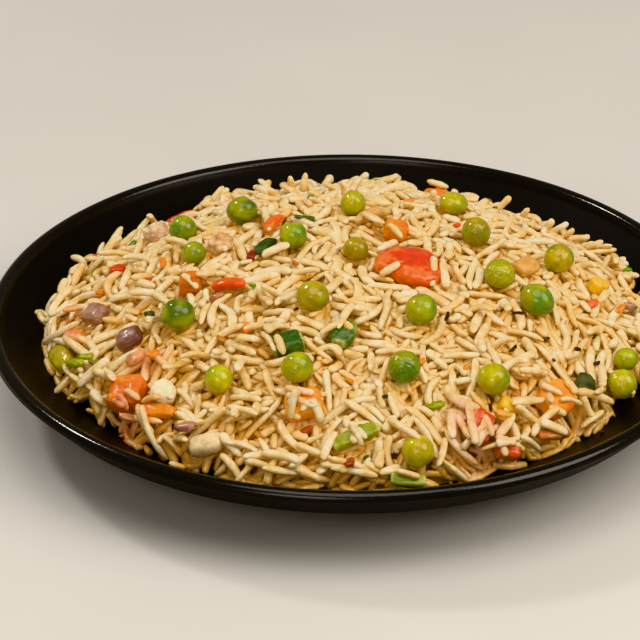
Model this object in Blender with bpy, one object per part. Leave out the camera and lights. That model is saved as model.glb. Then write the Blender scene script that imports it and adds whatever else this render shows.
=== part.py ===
"""Vegetable pulao with a little cauliflower, heaped on a black coupe plate.

Metres, +Z up. The origin is under the middle of the plate, on the surface that it stands on.
+X is the right of the photograph and +Y points away from where it was taken. A topping is placed
by the pixel where the photograph shows it: its line of sight is followed down to the heap."""

import math
import random
from functools import partial

import bmesh
import bpy
import numpy as np
from mathutils import Matrix, Vector, noise
from mathutils.geometry import delaunay_2d_cdt

# Plate: a 20 cm coupe, one smooth curve from the flat floor up to a round lip
PLATE_RADIUS = 0.100
PLATE_HEIGHT = 0.024
WALL = 0.0042
FLOOR_TOP = 0.0065
FLOOR_RADIUS = 0.040
CURVE_POWER = 3.0
INNER_STATIONS = (0.0, 0.040, 0.053, 0.062, 0.070, 0.077, 0.083, 0.088, 0.0925)
OUTER_STATIONS = (0.090, 0.082, 0.072)
LIP_STEPS = 4
FOOT_RADIUS = 0.058
FOOT_WIDTH = 0.0035
FOOT_CHAMFER = 0.0008
PLATE_SIDES = 44

# Heap: a dome of rice that stops on the plate's curve, a little uneven in plan and in height
HEAP_RADIUS = 0.0826
HEAP_LOBE_4 = 0.0024
HEAP_LOBE_3 = 0.0007
DOME_BASE = 0.0170
DOME_RISE = 0.0278
DOME_MARGIN = 0.0034
DOME_POWER = 2.5
BACK_DIP = 0.0022
DIP_START = 0.020
DIP_REACH = 0.040
DIP_WIDTH = 0.045
SWELL = 0.0012
SWELL_LENGTH = 0.026
SWELL_SLICE = 0.5
OUTLINE_POINTS = 84
OUTLINE_TOOTH = 0.0012
SIDE_BULGE = 0.0008
SIDE_SHARE = 0.45
UNDERCUT = 0.0022
BOTTOM_RINGS = ((0.87, 36), (0.74, 28), (0.6, 20), (0.48, 12))

# Bumps as large as the cooked grains, each a short ridge between low points
RIDGE_LENGTHS = (0.0045, 0.0080)
RIDGE_SPACING = 0.0021
RIDGE_TRIES = 20000
RIDGE_SLOPE = 0.0004
RIDGE_SAMPLES = 7
GROOVE_DEPTH = 0.0011
GROOVE_FROM_RIDGE = 0.0012
GROOVE_SPACING = 0.0042
GROOVE_TRIES = 9000
EDGE_MARGIN = 0.0022
SEED = 11

GAP = 0.0004
SOCKET_RIM = 0.0012
HALF_TURN = math.pi
SLOPE_STEP = 0.0005
NORMAL_STEP = 0.002
SAME_POINT = 1e-6
SMOOTH_ANGLE = math.radians(50)

# Where the photograph was taken from, for placing by pixel in its 640 x 640 frame
SIGHT_FOCAL_PIXELS = 2667.0
SIGHT_CENTRE_PIXEL = 320.0
SIGHT_ELEVATION = math.radians(28.2)
SIGHT_DISTANCE = 0.777
SIGHT_AIM = Vector((-0.0086, 0.0351, 0.0))
SIGHT_REACH = 0.13
SIGHT_STEP = 0.002
BISECTIONS = 24

# Peas: pixel of the centre, (length, width, height), pixel that the length points at, and how far
# the centre stands above the heap as a share of the height
PEAS = (
    ((183, 229), (0.0078, 0.0076, 0.0074), (197, 229), 0.36),
    ((242, 210), (0.0088, 0.0080, 0.0076), (257, 207), 0.36),
    ((293, 235), (0.0081, 0.0078, 0.0076), (307, 238), 0.36),
    ((353, 203), (0.0074, 0.0070, 0.0068), (366, 200), 0.20),
    ((356, 249), (0.0072, 0.0066, 0.0066), (366, 252), 0.17),
    ((453, 203), (0.0092, 0.0080, 0.0062), (468, 204), 0.22),
    ((476, 232), (0.0083, 0.0080, 0.0080), (488, 240), 0.38),
    ((559, 258), (0.0082, 0.0080, 0.0078), (572, 255), 0.38),
    ((500, 274), (0.0088, 0.0082, 0.0080), (514, 268), 0.31),
    ((537, 300), (0.0100, 0.0084, 0.0082), (551, 311), 0.40),
    ((313, 296), (0.0088, 0.0084, 0.0078), (329, 300), 0.30),
    ((421, 309), (0.0086, 0.0082, 0.0080), (435, 305), 0.38),
    ((178, 315), (0.0094, 0.0090, 0.0086), (194, 312), 0.36),
    ((194, 253), (0.0068, 0.0066, 0.0064), (207, 255), 0.12),
    ((297, 367), (0.0083, 0.0082, 0.0080), (311, 366), 0.40),
    ((218, 379), (0.0078, 0.0070, 0.0072), (220, 392), 0.32),
    ((404, 367), (0.0090, 0.0086, 0.0084), (419, 372), 0.40),
    ((494, 379), (0.0086, 0.0084, 0.0082), (508, 384), 0.40),
    ((418, 451), (0.0084, 0.0080, 0.0078), (432, 447), 0.34),
    ((626, 359), (0.0068, 0.0062, 0.0062), (638, 358), 0.32),
    ((622, 384), (0.0082, 0.0080, 0.0078), (634, 392), 0.34),
)

# Far side of the heap, which the photograph doesn't show: the same mix, placed by X and Y
FAR_PEAS = (
    ((0.008, 0.0745), (0.0080, 0.0076, 0.0074), 0.4, -0.24),
    ((-0.036, 0.0665), (0.0078, 0.0074, 0.0072), 1.3, -0.24),
    ((0.043, 0.0640), (0.0076, 0.0072, 0.0072), 2.2, -0.24),
    ((-0.060, 0.0460), (0.0072, 0.0070, 0.0070), 0.9, -0.24),
)

# Diced pieces: name, centre pixel, (length, width, height), pixel ahead, rise, lumps
DICE = (
    ("carrot_01", (557, 399), (0.0104, 0.0084, 0.0058), (572, 388), 0.10, 0.20),
    ("carrot_02", (127, 394), (0.0098, 0.0088, 0.0060), (147, 392), 0.10, 0.20),
    ("carrot_03", (190, 283), (0.0060, 0.0054, 0.0050), (200, 281), 0.14, 0.20),
    ("carrot_04", (395, 230), (0.0068, 0.0054, 0.0048), (407, 233), 0.12, 0.20),
    ("carrot_05", (303, 404), (0.0096, 0.0080, 0.0042), (318, 401), 0.02, 0.20),
    ("corn_01", (508, 406), (0.0052, 0.0040, 0.0038), (522, 412), 0.10, 0.10),
    ("corn_02", (598, 286), (0.0056, 0.0046, 0.0042), (607, 285), 0.14, 0.10),
    ("onion_01", (95, 314), (0.0074, 0.0062, 0.0038), (108, 317), 0.14, 0.24),
    ("onion_02", (130, 338), (0.0070, 0.0060, 0.0042), (142, 332), 0.08, 0.24),
    ("onion_03", (206, 444), (0.0092, 0.0052, 0.0044), (222, 440), 0.20, 0.20),
    ("onion_04", (526, 267), (0.0076, 0.0054, 0.0040), (538, 262), 0.06, 0.24),
    ("tomato_02", (480, 427), (0.0090, 0.0062, 0.0050), (486, 412), 0.04, 0.28),
    ("tomato_03", (507, 450), (0.0072, 0.0050, 0.0044), (518, 453), 0.12, 0.28),
    ("tomato_04", (75, 338), (0.0066, 0.0044, 0.0040), (90, 340), 0.06, 0.28),
    ("bean_01", (288, 344), (0.0080, 0.0062, 0.0048), (301, 341), 0.02, 0.12),
)

# Florets and other round pieces: name, centre pixel, (length, width, height), pixel ahead, rise
FLORETS = (
    ("cauliflower_01", (157, 232), (0.0076, 0.0064, 0.0060), (167, 228), 0.16),
    ("cauliflower_02", (221, 244), (0.0068, 0.0060, 0.0056), (231, 239), 0.14),
    ("cauliflower_03", (163, 393), (0.0082, 0.0070, 0.0062), (176, 398), 0.16),
)

# Strips: name, centre pixel, (length, width, thickness), pixel ahead, rise, bend
STRIPS = (
    ("bean_02", (356, 436), (0.0125, 0.0036, 0.0030), (376, 428), 0.16, 0.5),
    ("bean_03", (408, 480), (0.0086, 0.0034, 0.0028), (424, 481), 0.30, 0.4),
    ("pepper_01", (228, 284), (0.0094, 0.0030, 0.0022), (245, 283), 0.30, 0.5),
    ("pepper_02", (274, 222), (0.0086, 0.0026, 0.0022), (283, 215), 0.35, 0.5),
    ("pepper_03", (555, 434), (0.0098, 0.0028, 0.0024), (573, 432), 0.20, 0.6),
    ("pepper_04", (155, 411), (0.0116, 0.0036, 0.0026), (178, 412), 0.20, 0.4),
    ("leaf_02", (266, 245), (0.0086, 0.0030, 0.0016), (275, 238), 0.40, 0.7),
    ("onion_05", (373, 214), (0.0130, 0.0034, 0.0024), (394, 208), 0.30, 0.9),
)

# Curved sheets: name, centre pixel, (length, width, thickness), pixel ahead, rise, arch, wave
SHEETS = (
    ("tomato_01", (411, 262), (0.0190, 0.0150, 0.0034), (445, 276), 0.25, 0.0030, 0.0003),
    ("pepper_05", (60, 357), (0.0108, 0.0058, 0.0026), (72, 374), 0.40, 0.0014, 0.0002),
    ("bean_04", (343, 331), (0.0092, 0.0066, 0.0026), (336, 347), 0.30, 0.0016, 0.0002),
    ("leaf_01", (585, 387), (0.0100, 0.0056, 0.0013), (581, 402), 0.70, 0.0010, 0.0005),
)

# Far side of the heap: name, (X, Y), sizes, turn, rise, shape values
FAR_DICE = (
    ("carrot_06", (0.027, 0.0710), (0.0084, 0.0068, 0.0054), 0.5, -0.26, 0.20),
)
FAR_FLORETS = (
    ("cauliflower_04", (-0.012, 0.0740), (0.0082, 0.0072, 0.0062), 1.9, -0.24),
)
FAR_SHEETS = (
    ("tomato_05", (-0.050, 0.0580), (0.0110, 0.0085, 0.0030), 0.6, -0.05, 0.0016, 0.0003),
)

# How the toppings' shapes depart from a true ball, cube, strip and sheet
PEA_LUMPS = 0.07
FLORET_LUMPS = 0.24
LUMP_SCALE = 1.7
DICE_CHAMFER = 0.34
STRIP_STEPS = 5
STRIP_TAPER = 0.3
SHEET_STEPS = (5, 3)
SHEET_ROUNDING = 0.4
ARCH_ALONG = 0.6
ARCH_ACROSS = 0.4
RIPPLES = 2.1
RIPPLE_SLANT = 1.3

COLOURS = {
    "plate": ((0.012, 0.012, 0.013), 0.28),
    "rice": ((0.80, 0.62, 0.34), 0.42),
    "pea": ((0.30, 0.42, 0.02), 0.25),
    "carrot": ((0.80, 0.20, 0.01), 0.32),
    "corn": ((0.85, 0.52, 0.05), 0.30),
    "cauliflower": ((0.82, 0.68, 0.38), 0.45),
    "onion": ((0.52, 0.34, 0.20), 0.22),
    "tomato": ((0.70, 0.07, 0.01), 0.22),
    "bean": ((0.14, 0.26, 0.015), 0.25),
    "pepper": ((0.55, 0.12, 0.01), 0.26),
    "leaf": ((0.03, 0.08, 0.012), 0.35),
}


def bowl_height(radius):
    """Height of the plate's inner surface at a distance from its axis."""
    span = PLATE_RADIUS - WALL - FLOOR_RADIUS
    share = max(radius - FLOOR_RADIUS, 0.0) / span
    return FLOOR_TOP + (PLATE_HEIGHT - WALL / 2 - FLOOR_TOP) * share ** CURVE_POWER


def bowl_underside(radius):
    """The point one wall's thickness below the inner surface, square to it."""
    rise = bowl_height(radius + SLOPE_STEP) - bowl_height(radius - SLOPE_STEP)
    slope = rise / (2 * SLOPE_STEP)
    scale = WALL / math.hypot(slope, 1.0)
    return radius + slope * scale, bowl_height(radius) - scale


def heap_radius(angle):
    """Distance from the axis to the heap's edge, in this direction."""
    return HEAP_RADIUS + HEAP_LOBE_4 * math.cos(4 * angle) + HEAP_LOBE_3 * math.cos(3 * angle + 1)


def heap_top(x, y):
    """Height of the top of the grains."""
    share = math.hypot(x, y) / (heap_radius(math.atan2(y, x)) + DOME_MARGIN)
    swell = SWELL * noise.noise(Vector((x / SWELL_LENGTH, y / SWELL_LENGTH, SWELL_SLICE)))
    behind = min(max((y - DIP_START) / DIP_REACH, 0.0), 1.0)
    dip = BACK_DIP * behind ** 2 * math.exp(-(x / DIP_WIDTH) ** 2)
    return DOME_BASE + DOME_RISE * (1 - share ** DOME_POWER) + swell - dip


def heap_normal(x, y):
    """Direction square to the heap's top."""
    rise_x = heap_top(x + NORMAL_STEP, y) - heap_top(x - NORMAL_STEP, y)
    rise_y = heap_top(x, y + NORMAL_STEP) - heap_top(x, y - NORMAL_STEP)
    return Vector((-rise_x, -rise_y, 2 * NORMAL_STEP)).normalized()


def on_heap(pixel, lift):
    """Where the line of sight through a pixel first comes down to `lift` above the heap."""
    ahead = Vector((0, math.cos(SIGHT_ELEVATION), -math.sin(SIGHT_ELEVATION)))
    upward = Vector((0, math.sin(SIGHT_ELEVATION), math.cos(SIGHT_ELEVATION)))
    across = (pixel[0] - SIGHT_CENTRE_PIXEL) / SIGHT_FOCAL_PIXELS
    down = (pixel[1] - SIGHT_CENTRE_PIXEL) / SIGHT_FOCAL_PIXELS
    eye = SIGHT_AIM - SIGHT_DISTANCE * ahead
    sight = ahead + Vector((across, 0, 0)) - down * upward

    def clearance(distance):
        point = eye + distance * sight
        return point.z - heap_top(point.x, point.y) - lift

    near = SIGHT_DISTANCE - SIGHT_REACH
    while clearance(near) > 0:
        near += SIGHT_STEP
    low, high = near - SIGHT_STEP, near
    for _ in range(BISECTIONS):
        middle = (low + high) / 2
        if clearance(middle) > 0:
            low = middle
        else:
            high = middle
    return eye + high * sight


def seat(centre, forward):
    """A frame with Z square to the heap and X as near as it can be to `forward`."""
    up = heap_normal(centre.x, centre.y)
    side = up.cross(forward).normalized()
    along = side.cross(up)
    turn = Matrix((along, side, up)).transposed().to_4x4()
    return Matrix.Translation(centre) @ turn


def seat_by_pixel(pixel, ahead_pixel, lift):
    centre = on_heap(pixel, lift)
    return seat(centre, on_heap(ahead_pixel, lift) - centre)


def seat_by_place(place, turn, lift):
    x, y = place
    centre = Vector((x, y, heap_top(x, y))) + lift * heap_normal(x, y)
    return seat(centre, Vector((math.cos(turn), math.sin(turn), 0)))


def mesh_from(name, points, faces):
    """A mesh with its faces split into triangles and turned outwards."""
    mesh = bpy.data.meshes.new(name)
    mesh.from_pydata([tuple(point) for point in points], [], faces)
    tidy = bmesh.new()
    tidy.from_mesh(mesh)
    bmesh.ops.triangulate(tidy, faces=tidy.faces)
    bmesh.ops.recalc_face_normals(tidy, faces=tidy.faces)
    tidy.to_mesh(mesh)
    tidy.free()
    return mesh


def swollen(out, lumps, seed):
    """How far the surface stands out in this direction, against a smooth one."""
    return 1 + lumps * noise.noise(LUMP_SCALE * out + Vector((seed, 0, 0)))


def ball_points(size, lumps, seed, spare):
    """A ball with gentle lumps."""
    ball = bmesh.new()
    bmesh.ops.create_icosphere(ball, subdivisions=2, radius=1.0)
    half = Vector(size) / 2
    points = []
    for vertex in ball.verts:
        out = vertex.co.normalized()
        points.append(half * out * swollen(out, lumps, seed) + spare * out)
    faces = [[vertex.index for vertex in face.verts] for face in ball.faces]
    ball.free()
    return points, faces


def dice_points(size, lumps, seed, spare):
    """A cut cube with chamfered edges, pulled a little out of true."""
    cube = bmesh.new()
    bmesh.ops.create_cube(cube, size=2.0)
    bmesh.ops.bevel(cube, geom=cube.edges[:], offset=DICE_CHAMFER, segments=1, affect="EDGES")
    half = Vector(size) / 2
    points = []
    for vertex in cube.verts:
        out = vertex.co.normalized()
        points.append(half * vertex.co * swollen(out, lumps, seed) + spare * vertex.co)
    cube.verts.index_update()
    faces = [[vertex.index for vertex in face.verts] for face in cube.faces]
    cube.free()
    return points, faces


def strip_points(size, bend, spare):
    """A bent strip with four corners and slightly narrower ends."""
    length, width, thickness = (extent + 2 * spare for extent in size)
    radius = size[0] / bend
    points = []
    for step in range(STRIP_STEPS + 1):
        share = 2 * step / STRIP_STEPS - 1
        angle = share * length / (2 * radius)
        taper = 1 - STRIP_TAPER * share ** 4
        for across, rise in ((-1, -1), (1, -1), (1, 1), (-1, 1)):
            reach = radius + rise * thickness / 2 * taper
            drop = radius * (1 - math.cos(bend / 4))
            points.append(
                Vector((reach * math.sin(angle), across * width / 2 * taper,
                        reach * math.cos(angle) - radius + drop))
            )
    faces = [[3, 2, 1, 0], [4 * STRIP_STEPS + corner for corner in range(4)]]
    for step in range(STRIP_STEPS):
        for corner in range(4):
            after = (corner + 1) % 4
            low, high = 4 * step, 4 * (step + 1)
            faces.append([low + corner, low + after, high + after, high + corner])
    return points, faces


def sheet_points(size, arch, wave, spare):
    """A thin rounded sheet, arched along and across, with a ripple."""
    length, width, thickness = (extent + 2 * spare for extent in size)
    along, across = SHEET_STEPS
    points = []
    for face in (-1, 1):
        for i in range(along + 1):
            for j in range(across + 1):
                u, v = 2 * i / along - 1, 2 * j / across - 1
                x = u * math.sqrt(1 - SHEET_ROUNDING * v * v) * length / 2
                y = v * math.sqrt(1 - SHEET_ROUNDING * u * u) * width / 2
                reach_x, reach_y = 2 * x / size[0], 2 * y / size[1]
                ripple = wave * math.sin(RIPPLES * HALF_TURN * reach_x + RIPPLE_SLANT * reach_y)
                curve = -arch * (ARCH_ALONG * reach_x ** 2 + ARCH_ACROSS * reach_y ** 2)
                points.append(Vector((x, y, curve + ripple + face * thickness / 2)))
    row = across + 1
    layer = row * (along + 1)
    faces = []
    for i in range(along):
        for j in range(across):
            a, b, c, d = i * row + j, (i + 1) * row + j, (i + 1) * row + j + 1, i * row + j + 1
            faces += [[a, c, b], [a, d, c], [layer + a, layer + b, layer + c],
                      [layer + a, layer + c, layer + d]]
    rim = [i * row for i in range(along + 1)]
    rim += [along * row + j for j in range(1, across + 1)]
    rim += [i * row + across for i in range(along - 1, -1, -1)]
    rim += list(range(across - 1, 0, -1))
    for start, end in zip(rim, rim[1:] + rim[:1]):
        faces.append([start, end, layer + end, layer + start])
    return points, faces


def toppings():
    """Yields each topping's name, frame, and its shape as a function of how much larger to make it."""
    for number, (pixel, size, ahead, rise) in enumerate(PEAS, 1):
        frame = seat_by_pixel(pixel, ahead, rise * size[2])
        yield f"pea_{number:02d}", frame, partial(ball_points, size, PEA_LUMPS, number)
    for number, (place, size, turn, rise) in enumerate(FAR_PEAS, len(PEAS) + 1):
        frame = seat_by_place(place, turn, rise * size[2])
        yield f"pea_{number:02d}", frame, partial(ball_points, size, PEA_LUMPS, number)
    for seed, (name, pixel, size, ahead, rise, lumps) in enumerate(DICE):
        frame = seat_by_pixel(pixel, ahead, rise * size[2])
        yield name, frame, partial(dice_points, size, lumps, seed)
    for seed, (name, place, size, turn, rise, lumps) in enumerate(FAR_DICE, len(DICE)):
        frame = seat_by_place(place, turn, rise * size[2])
        yield name, frame, partial(dice_points, size, lumps, seed)
    for seed, (name, pixel, size, ahead, rise) in enumerate(FLORETS):
        frame = seat_by_pixel(pixel, ahead, rise * size[2])
        yield name, frame, partial(ball_points, size, FLORET_LUMPS, seed)
    for seed, (name, place, size, turn, rise) in enumerate(FAR_FLORETS, len(FLORETS)):
        frame = seat_by_place(place, turn, rise * size[2])
        yield name, frame, partial(ball_points, size, FLORET_LUMPS, seed)
    for name, pixel, size, ahead, rise, bend in STRIPS:
        frame = seat_by_pixel(pixel, ahead, rise * size[2])
        yield name, frame, partial(strip_points, size, bend)
    for name, pixel, size, ahead, rise, arch, wave in SHEETS:
        frame = seat_by_pixel(pixel, ahead, rise * size[2])
        yield name, frame, partial(sheet_points, size, arch, wave)
    for name, place, size, turn, rise, arch, wave in FAR_SHEETS:
        frame = seat_by_place(place, turn, rise * size[2])
        yield name, frame, partial(sheet_points, size, arch, wave)


def plate_profile():
    """The plate's half section, from the middle of its floor over the lip to under its middle."""
    profile = [(radius, bowl_height(radius)) for radius in INNER_STATIONS]
    centre_x, centre_z = PLATE_RADIUS - WALL / 2, PLATE_HEIGHT - WALL / 2
    for step in range(LIP_STEPS + 1):
        angle = HALF_TURN * (1 - step / LIP_STEPS)
        profile.append((centre_x + WALL / 2 * math.cos(angle), centre_z + WALL / 2 * math.sin(angle)))
    profile += [bowl_underside(radius) for radius in OUTER_STATIONS]
    under = bowl_underside(FOOT_RADIUS)
    inner_foot = FOOT_RADIUS - FOOT_WIDTH
    profile += [under, (under[0], FOOT_CHAMFER), (under[0] - FOOT_CHAMFER, 0)]
    profile += [(inner_foot, 0), (inner_foot, FLOOR_TOP - WALL), (0, FLOOR_TOP - WALL)]
    return profile


def turned_mesh(name, profile, sides):
    """A closed turned solid whose profile starts and ends on the axis."""
    points = [(0, 0, profile[0][1])]
    for radius, height in profile[1:-1]:
        for side in range(sides):
            angle = 2 * HALF_TURN * side / sides
            points.append((radius * math.cos(angle), radius * math.sin(angle), height))
    points.append((0, 0, profile[-1][1]))
    last = len(points) - 1
    faces = []
    for side in range(sides):
        after = (side + 1) % sides
        faces.append([0, 1 + side, 1 + after])
        faces.append([last, last - sides + after, last - sides + side])
        for ring in range(len(profile) - 3):
            low, high = 1 + ring * sides, 1 + (ring + 1) * sides
            faces.append([low + side, high + side, high + after, low + after])
    return mesh_from(name, points, faces)


def spread_ridges(chance, clear):
    """Short ridges thrown at random over the heap, kept where they clear those before."""
    ridges = []
    taken = np.array(clear)
    for _ in range(RIDGE_TRIES):
        angle = chance.uniform(0, 2 * HALF_TURN)
        reach = heap_radius(angle) - EDGE_MARGIN
        distance = reach * math.sqrt(chance.random())
        middle = np.array((distance * math.cos(angle), distance * math.sin(angle)))
        turn = chance.uniform(0, HALF_TURN)
        half = chance.uniform(*RIDGE_LENGTHS) / 2 * np.array((math.cos(turn), math.sin(turn)))
        ends = np.array((middle - half, middle + half))
        inside = all(math.hypot(x, y) < heap_radius(math.atan2(y, x)) - EDGE_MARGIN for x, y in ends)
        samples = middle + np.linspace(-1, 1, RIDGE_SAMPLES)[:, None] * half
        gaps = np.linalg.norm(taken[None, :, :2] - samples[:, None, :], axis=2) - taken[None, :, 2]
        if inside and gaps.min() > 0:
            ridges.append(ends)
            wide = np.full((RIDGE_SAMPLES, 1), RIDGE_SPACING)
            taken = np.vstack((taken, np.hstack((samples, wide))))
    return ridges, taken


def spread_grooves(chance, taken):
    """Low points between the ridges."""
    low = []
    crowd = taken.copy()
    crowd[:, 2] = np.minimum(crowd[:, 2], GROOVE_FROM_RIDGE)
    for _ in range(GROOVE_TRIES):
        angle = chance.uniform(0, 2 * HALF_TURN)
        distance = (heap_radius(angle) - EDGE_MARGIN) * math.sqrt(chance.random())
        point = np.array((distance * math.cos(angle), distance * math.sin(angle)))
        if (np.linalg.norm(crowd[:, :2] - point, axis=1) > crowd[:, 2]).all():
            low.append(point)
            crowd = np.vstack((crowd, (*point, GROOVE_SPACING)))
    return low


def heap_outline(chance):
    """The heap's uneven edge, as angles and distances."""
    outline = []
    for number in range(OUTLINE_POINTS):
        angle = 2 * HALF_TURN * number / OUTLINE_POINTS
        tooth = OUTLINE_TOOTH * chance.uniform(-1, 1)
        outline.append((angle, heap_radius(angle) + tooth))
    return outline


def heap_mesh(sockets):
    """The heap: bumps like grains on top, an uneven edge, and the plate's curve below."""
    chance = random.Random(SEED)
    outline = heap_outline(chance)
    ring = [Vector((radius * math.cos(angle), radius * math.sin(angle))) for angle, radius in outline]
    ridges, taken = spread_ridges(chance, sockets)
    grooves = spread_grooves(chance, taken)

    flat = [point.copy() for point in ring]
    heights = [-GROOVE_DEPTH] * len(ring)
    edges = []
    for ends in ridges:
        edges.append((len(flat), len(flat) + 1))
        slope = chance.uniform(-1, 1) * RIDGE_SLOPE
        flat += [Vector(ends[0]), Vector(ends[1])]
        heights += [slope, -slope]
    flat += [Vector(point) for point in grooves]
    heights += [-GROOVE_DEPTH] * len(grooves)
    border = list(range(len(ring)))
    spots, _, faces, origins, _, _ = delaunay_2d_cdt(flat, edges, [border], 1, SAME_POINT)

    points = []
    for spot, origin in zip(spots, origins):
        points.append(Vector((spot.x, spot.y, heap_top(spot.x, spot.y) + heights[origin[0]])))
    top_ring = [next(i for i, origin in enumerate(origins) if number in origin) for number in border]
    faces = [list(face) for face in faces]
    side = add_ring(points, [(angle, radius + SIDE_BULGE) for angle, radius in outline], SIDE_SHARE)
    foot = add_ring(points, [(angle, radius - UNDERCUT) for angle, radius in outline], 0.0)
    for upper, lower in ((top_ring, side), (side, foot)):
        for number in border:
            after = (number + 1) % len(border)
            faces.append([upper[number], lower[number], lower[after], upper[after]])
    add_underside(points, faces, foot)
    return mesh_from("rice", points, faces)


def add_ring(points, outline, share):
    """Adds a ring between the plate's surface, at share 0, and the heap's top, at share 1."""
    ring = []
    for angle, radius in outline:
        x, y = radius * math.cos(angle), radius * math.sin(angle)
        low, high = bowl_height(radius) + GAP, heap_top(x, y)
        ring.append(len(points))
        points.append(Vector((x, y, low + share * (high - low))))
    return ring


def add_underside(points, faces, foot):
    """Closes the heap with rings of fewer and fewer points along the plate's curve."""
    flat = [points[index].to_2d() for index in foot]
    for share, count in BOTTOM_RINGS:
        for number in range(count):
            angle = 2 * HALF_TURN * number / count
            radius = share * HEAP_RADIUS
            flat.append(Vector((radius * math.cos(angle), radius * math.sin(angle))))
    flat.append(Vector((0, 0)))
    border = list(range(len(foot)))
    spots, _, triangles, origins, _, _ = delaunay_2d_cdt(flat, [], [border], 1, SAME_POINT)
    index_of = {}
    for i, origin in enumerate(origins):
        if origin[0] < len(foot):
            index_of[i] = foot[origin[0]]
        else:
            index_of[i] = len(points)
            points.append(Vector((*spots[i], bowl_height(spots[i].length) + GAP)))
    faces += [[index_of[corner] for corner in reversed(triangle)] for triangle in triangles]


def material_for(kind):
    """One Principled material for each kind of food, and one for the plate."""
    if kind in bpy.data.materials:
        return bpy.data.materials[kind]
    colour, roughness = COLOURS[kind]
    material = bpy.data.materials.new(kind)
    material.use_nodes = True
    shader = material.node_tree.nodes["Principled BSDF"]
    shader.inputs["Base Color"].default_value = (*colour, 1)
    shader.inputs["Roughness"].default_value = roughness
    shader.inputs["Metallic"].default_value = 0.0
    material.diffuse_color = (*colour, 1)
    return material


def add_object(name, mesh, frame=None):
    part = bpy.data.objects.new(name, mesh)
    bpy.context.scene.collection.objects.link(part)
    if frame is not None:
        part.matrix_world = frame
    mesh.materials.append(material_for(name.split("_")[0]))
    mesh.shade_smooth()
    mesh.set_sharp_from_angle(angle=SMOOTH_ANGLE)
    return part


def cut_sockets(heap, cutters):
    """Takes each topping's slightly larger shape out of the heap, and drops the cutters."""
    group = bpy.data.collections.new("sockets")
    bpy.context.scene.collection.children.link(group)
    for cutter in cutters:
        bpy.context.scene.collection.objects.unlink(cutter)
        group.objects.link(cutter)
        cutter.hide_render = True
        cutter.display_type = "WIRE"
    cut = heap.modifiers.new("sockets", "BOOLEAN")
    cut.operation = "DIFFERENCE"
    cut.operand_type = "COLLECTION"
    cut.collection = group
    cut.solver = "EXACT"
    bpy.context.view_layer.update()
    carved = bpy.data.meshes.new_from_object(heap.evaluated_get(bpy.context.evaluated_depsgraph_get()))
    heap.modifiers.remove(cut)
    heap.data = carved
    for cutter in cutters:
        bpy.data.objects.remove(cutter)
    bpy.data.collections.remove(group)


def build():
    for old in list(bpy.data.objects):
        bpy.data.objects.remove(old)
    add_object("plate", turned_mesh("plate", plate_profile(), PLATE_SIDES))
    cutters, clear = [], []
    for name, frame, shape in toppings():
        add_object(name, mesh_from(name, *shape(0.0)), frame)
        socket = mesh_from(name + "_socket", *shape(GAP))
        cutters.append(add_object(name + "_socket", socket, frame))
        for vertex in socket.vertices:
            place = frame @ vertex.co
            clear.append((place.x, place.y, SOCKET_RIM))
    heap = add_object("rice", heap_mesh(clear))
    cut_sockets(heap, cutters)


build()
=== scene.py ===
"""Looks of a vegetable pulao on a black coupe plate.

Metres, +Z up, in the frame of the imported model. Grains of rice are laid one by one on a height
field of the heap, so that each rests on those below. The toppings are rounded, finer forms of the
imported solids, in place."""

import functools
import math
from collections import namedtuple

import bmesh
import bpy
import numpy as np
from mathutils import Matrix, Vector, noise
from mathutils.bvhtree import BVHTree


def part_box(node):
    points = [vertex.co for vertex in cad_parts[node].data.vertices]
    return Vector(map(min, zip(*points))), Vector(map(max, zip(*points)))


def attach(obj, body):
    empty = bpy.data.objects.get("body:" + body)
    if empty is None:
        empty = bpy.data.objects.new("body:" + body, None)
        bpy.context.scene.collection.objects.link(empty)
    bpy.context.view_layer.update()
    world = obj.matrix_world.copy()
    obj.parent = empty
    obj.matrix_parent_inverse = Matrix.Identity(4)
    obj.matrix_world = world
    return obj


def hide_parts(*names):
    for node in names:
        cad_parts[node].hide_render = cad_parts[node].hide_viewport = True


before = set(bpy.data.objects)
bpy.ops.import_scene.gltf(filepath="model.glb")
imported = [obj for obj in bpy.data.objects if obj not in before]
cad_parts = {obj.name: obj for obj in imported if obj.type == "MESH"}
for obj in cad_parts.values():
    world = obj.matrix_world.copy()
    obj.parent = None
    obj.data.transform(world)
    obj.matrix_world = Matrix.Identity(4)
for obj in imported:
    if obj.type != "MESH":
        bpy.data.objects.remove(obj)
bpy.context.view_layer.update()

# Plate and heap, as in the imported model
PLATE_RADIUS = 0.100
PLATE_HEIGHT = 0.024
WALL = 0.0042
FLOOR_TOP = 0.0065
FLOOR_RADIUS = 0.040
CURVE_POWER = 3.0
FOOT_RADIUS = 0.058
FOOT_WIDTH = 0.0035
FOOT_CHAMFER = 0.0008
HEAP_RADIUS = 0.0826
HEAP_LOBE_4 = 0.0024
HEAP_LOBE_3 = 0.0007
DOME_BASE = 0.0170
DOME_RISE = 0.0278
DOME_MARGIN = 0.0034
DOME_POWER = 2.5
BACK_DIP = 0.0022
DIP_START = 0.020
DIP_REACH = 0.040
DIP_WIDTH = 0.045
SWELL = 0.0012
SWELL_LENGTH = 0.026
SWELL_SLICE = 0.5

# The photograph's camera; pixels are in its 640 x 640 frame
FOCAL_PIXELS = 2667.0
CENTRE_PIXEL = 320.0
FRAME_PIXELS = 640.0
SENSOR = 36.0
ELEVATION = math.radians(28.2)
DISTANCE = 0.777
AIM = Vector((-0.0086, 0.0351, 0.0))
SIGHT_REACH = 0.13
SIGHT_STEP = 0.002
BISECTIONS = 24

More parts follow.
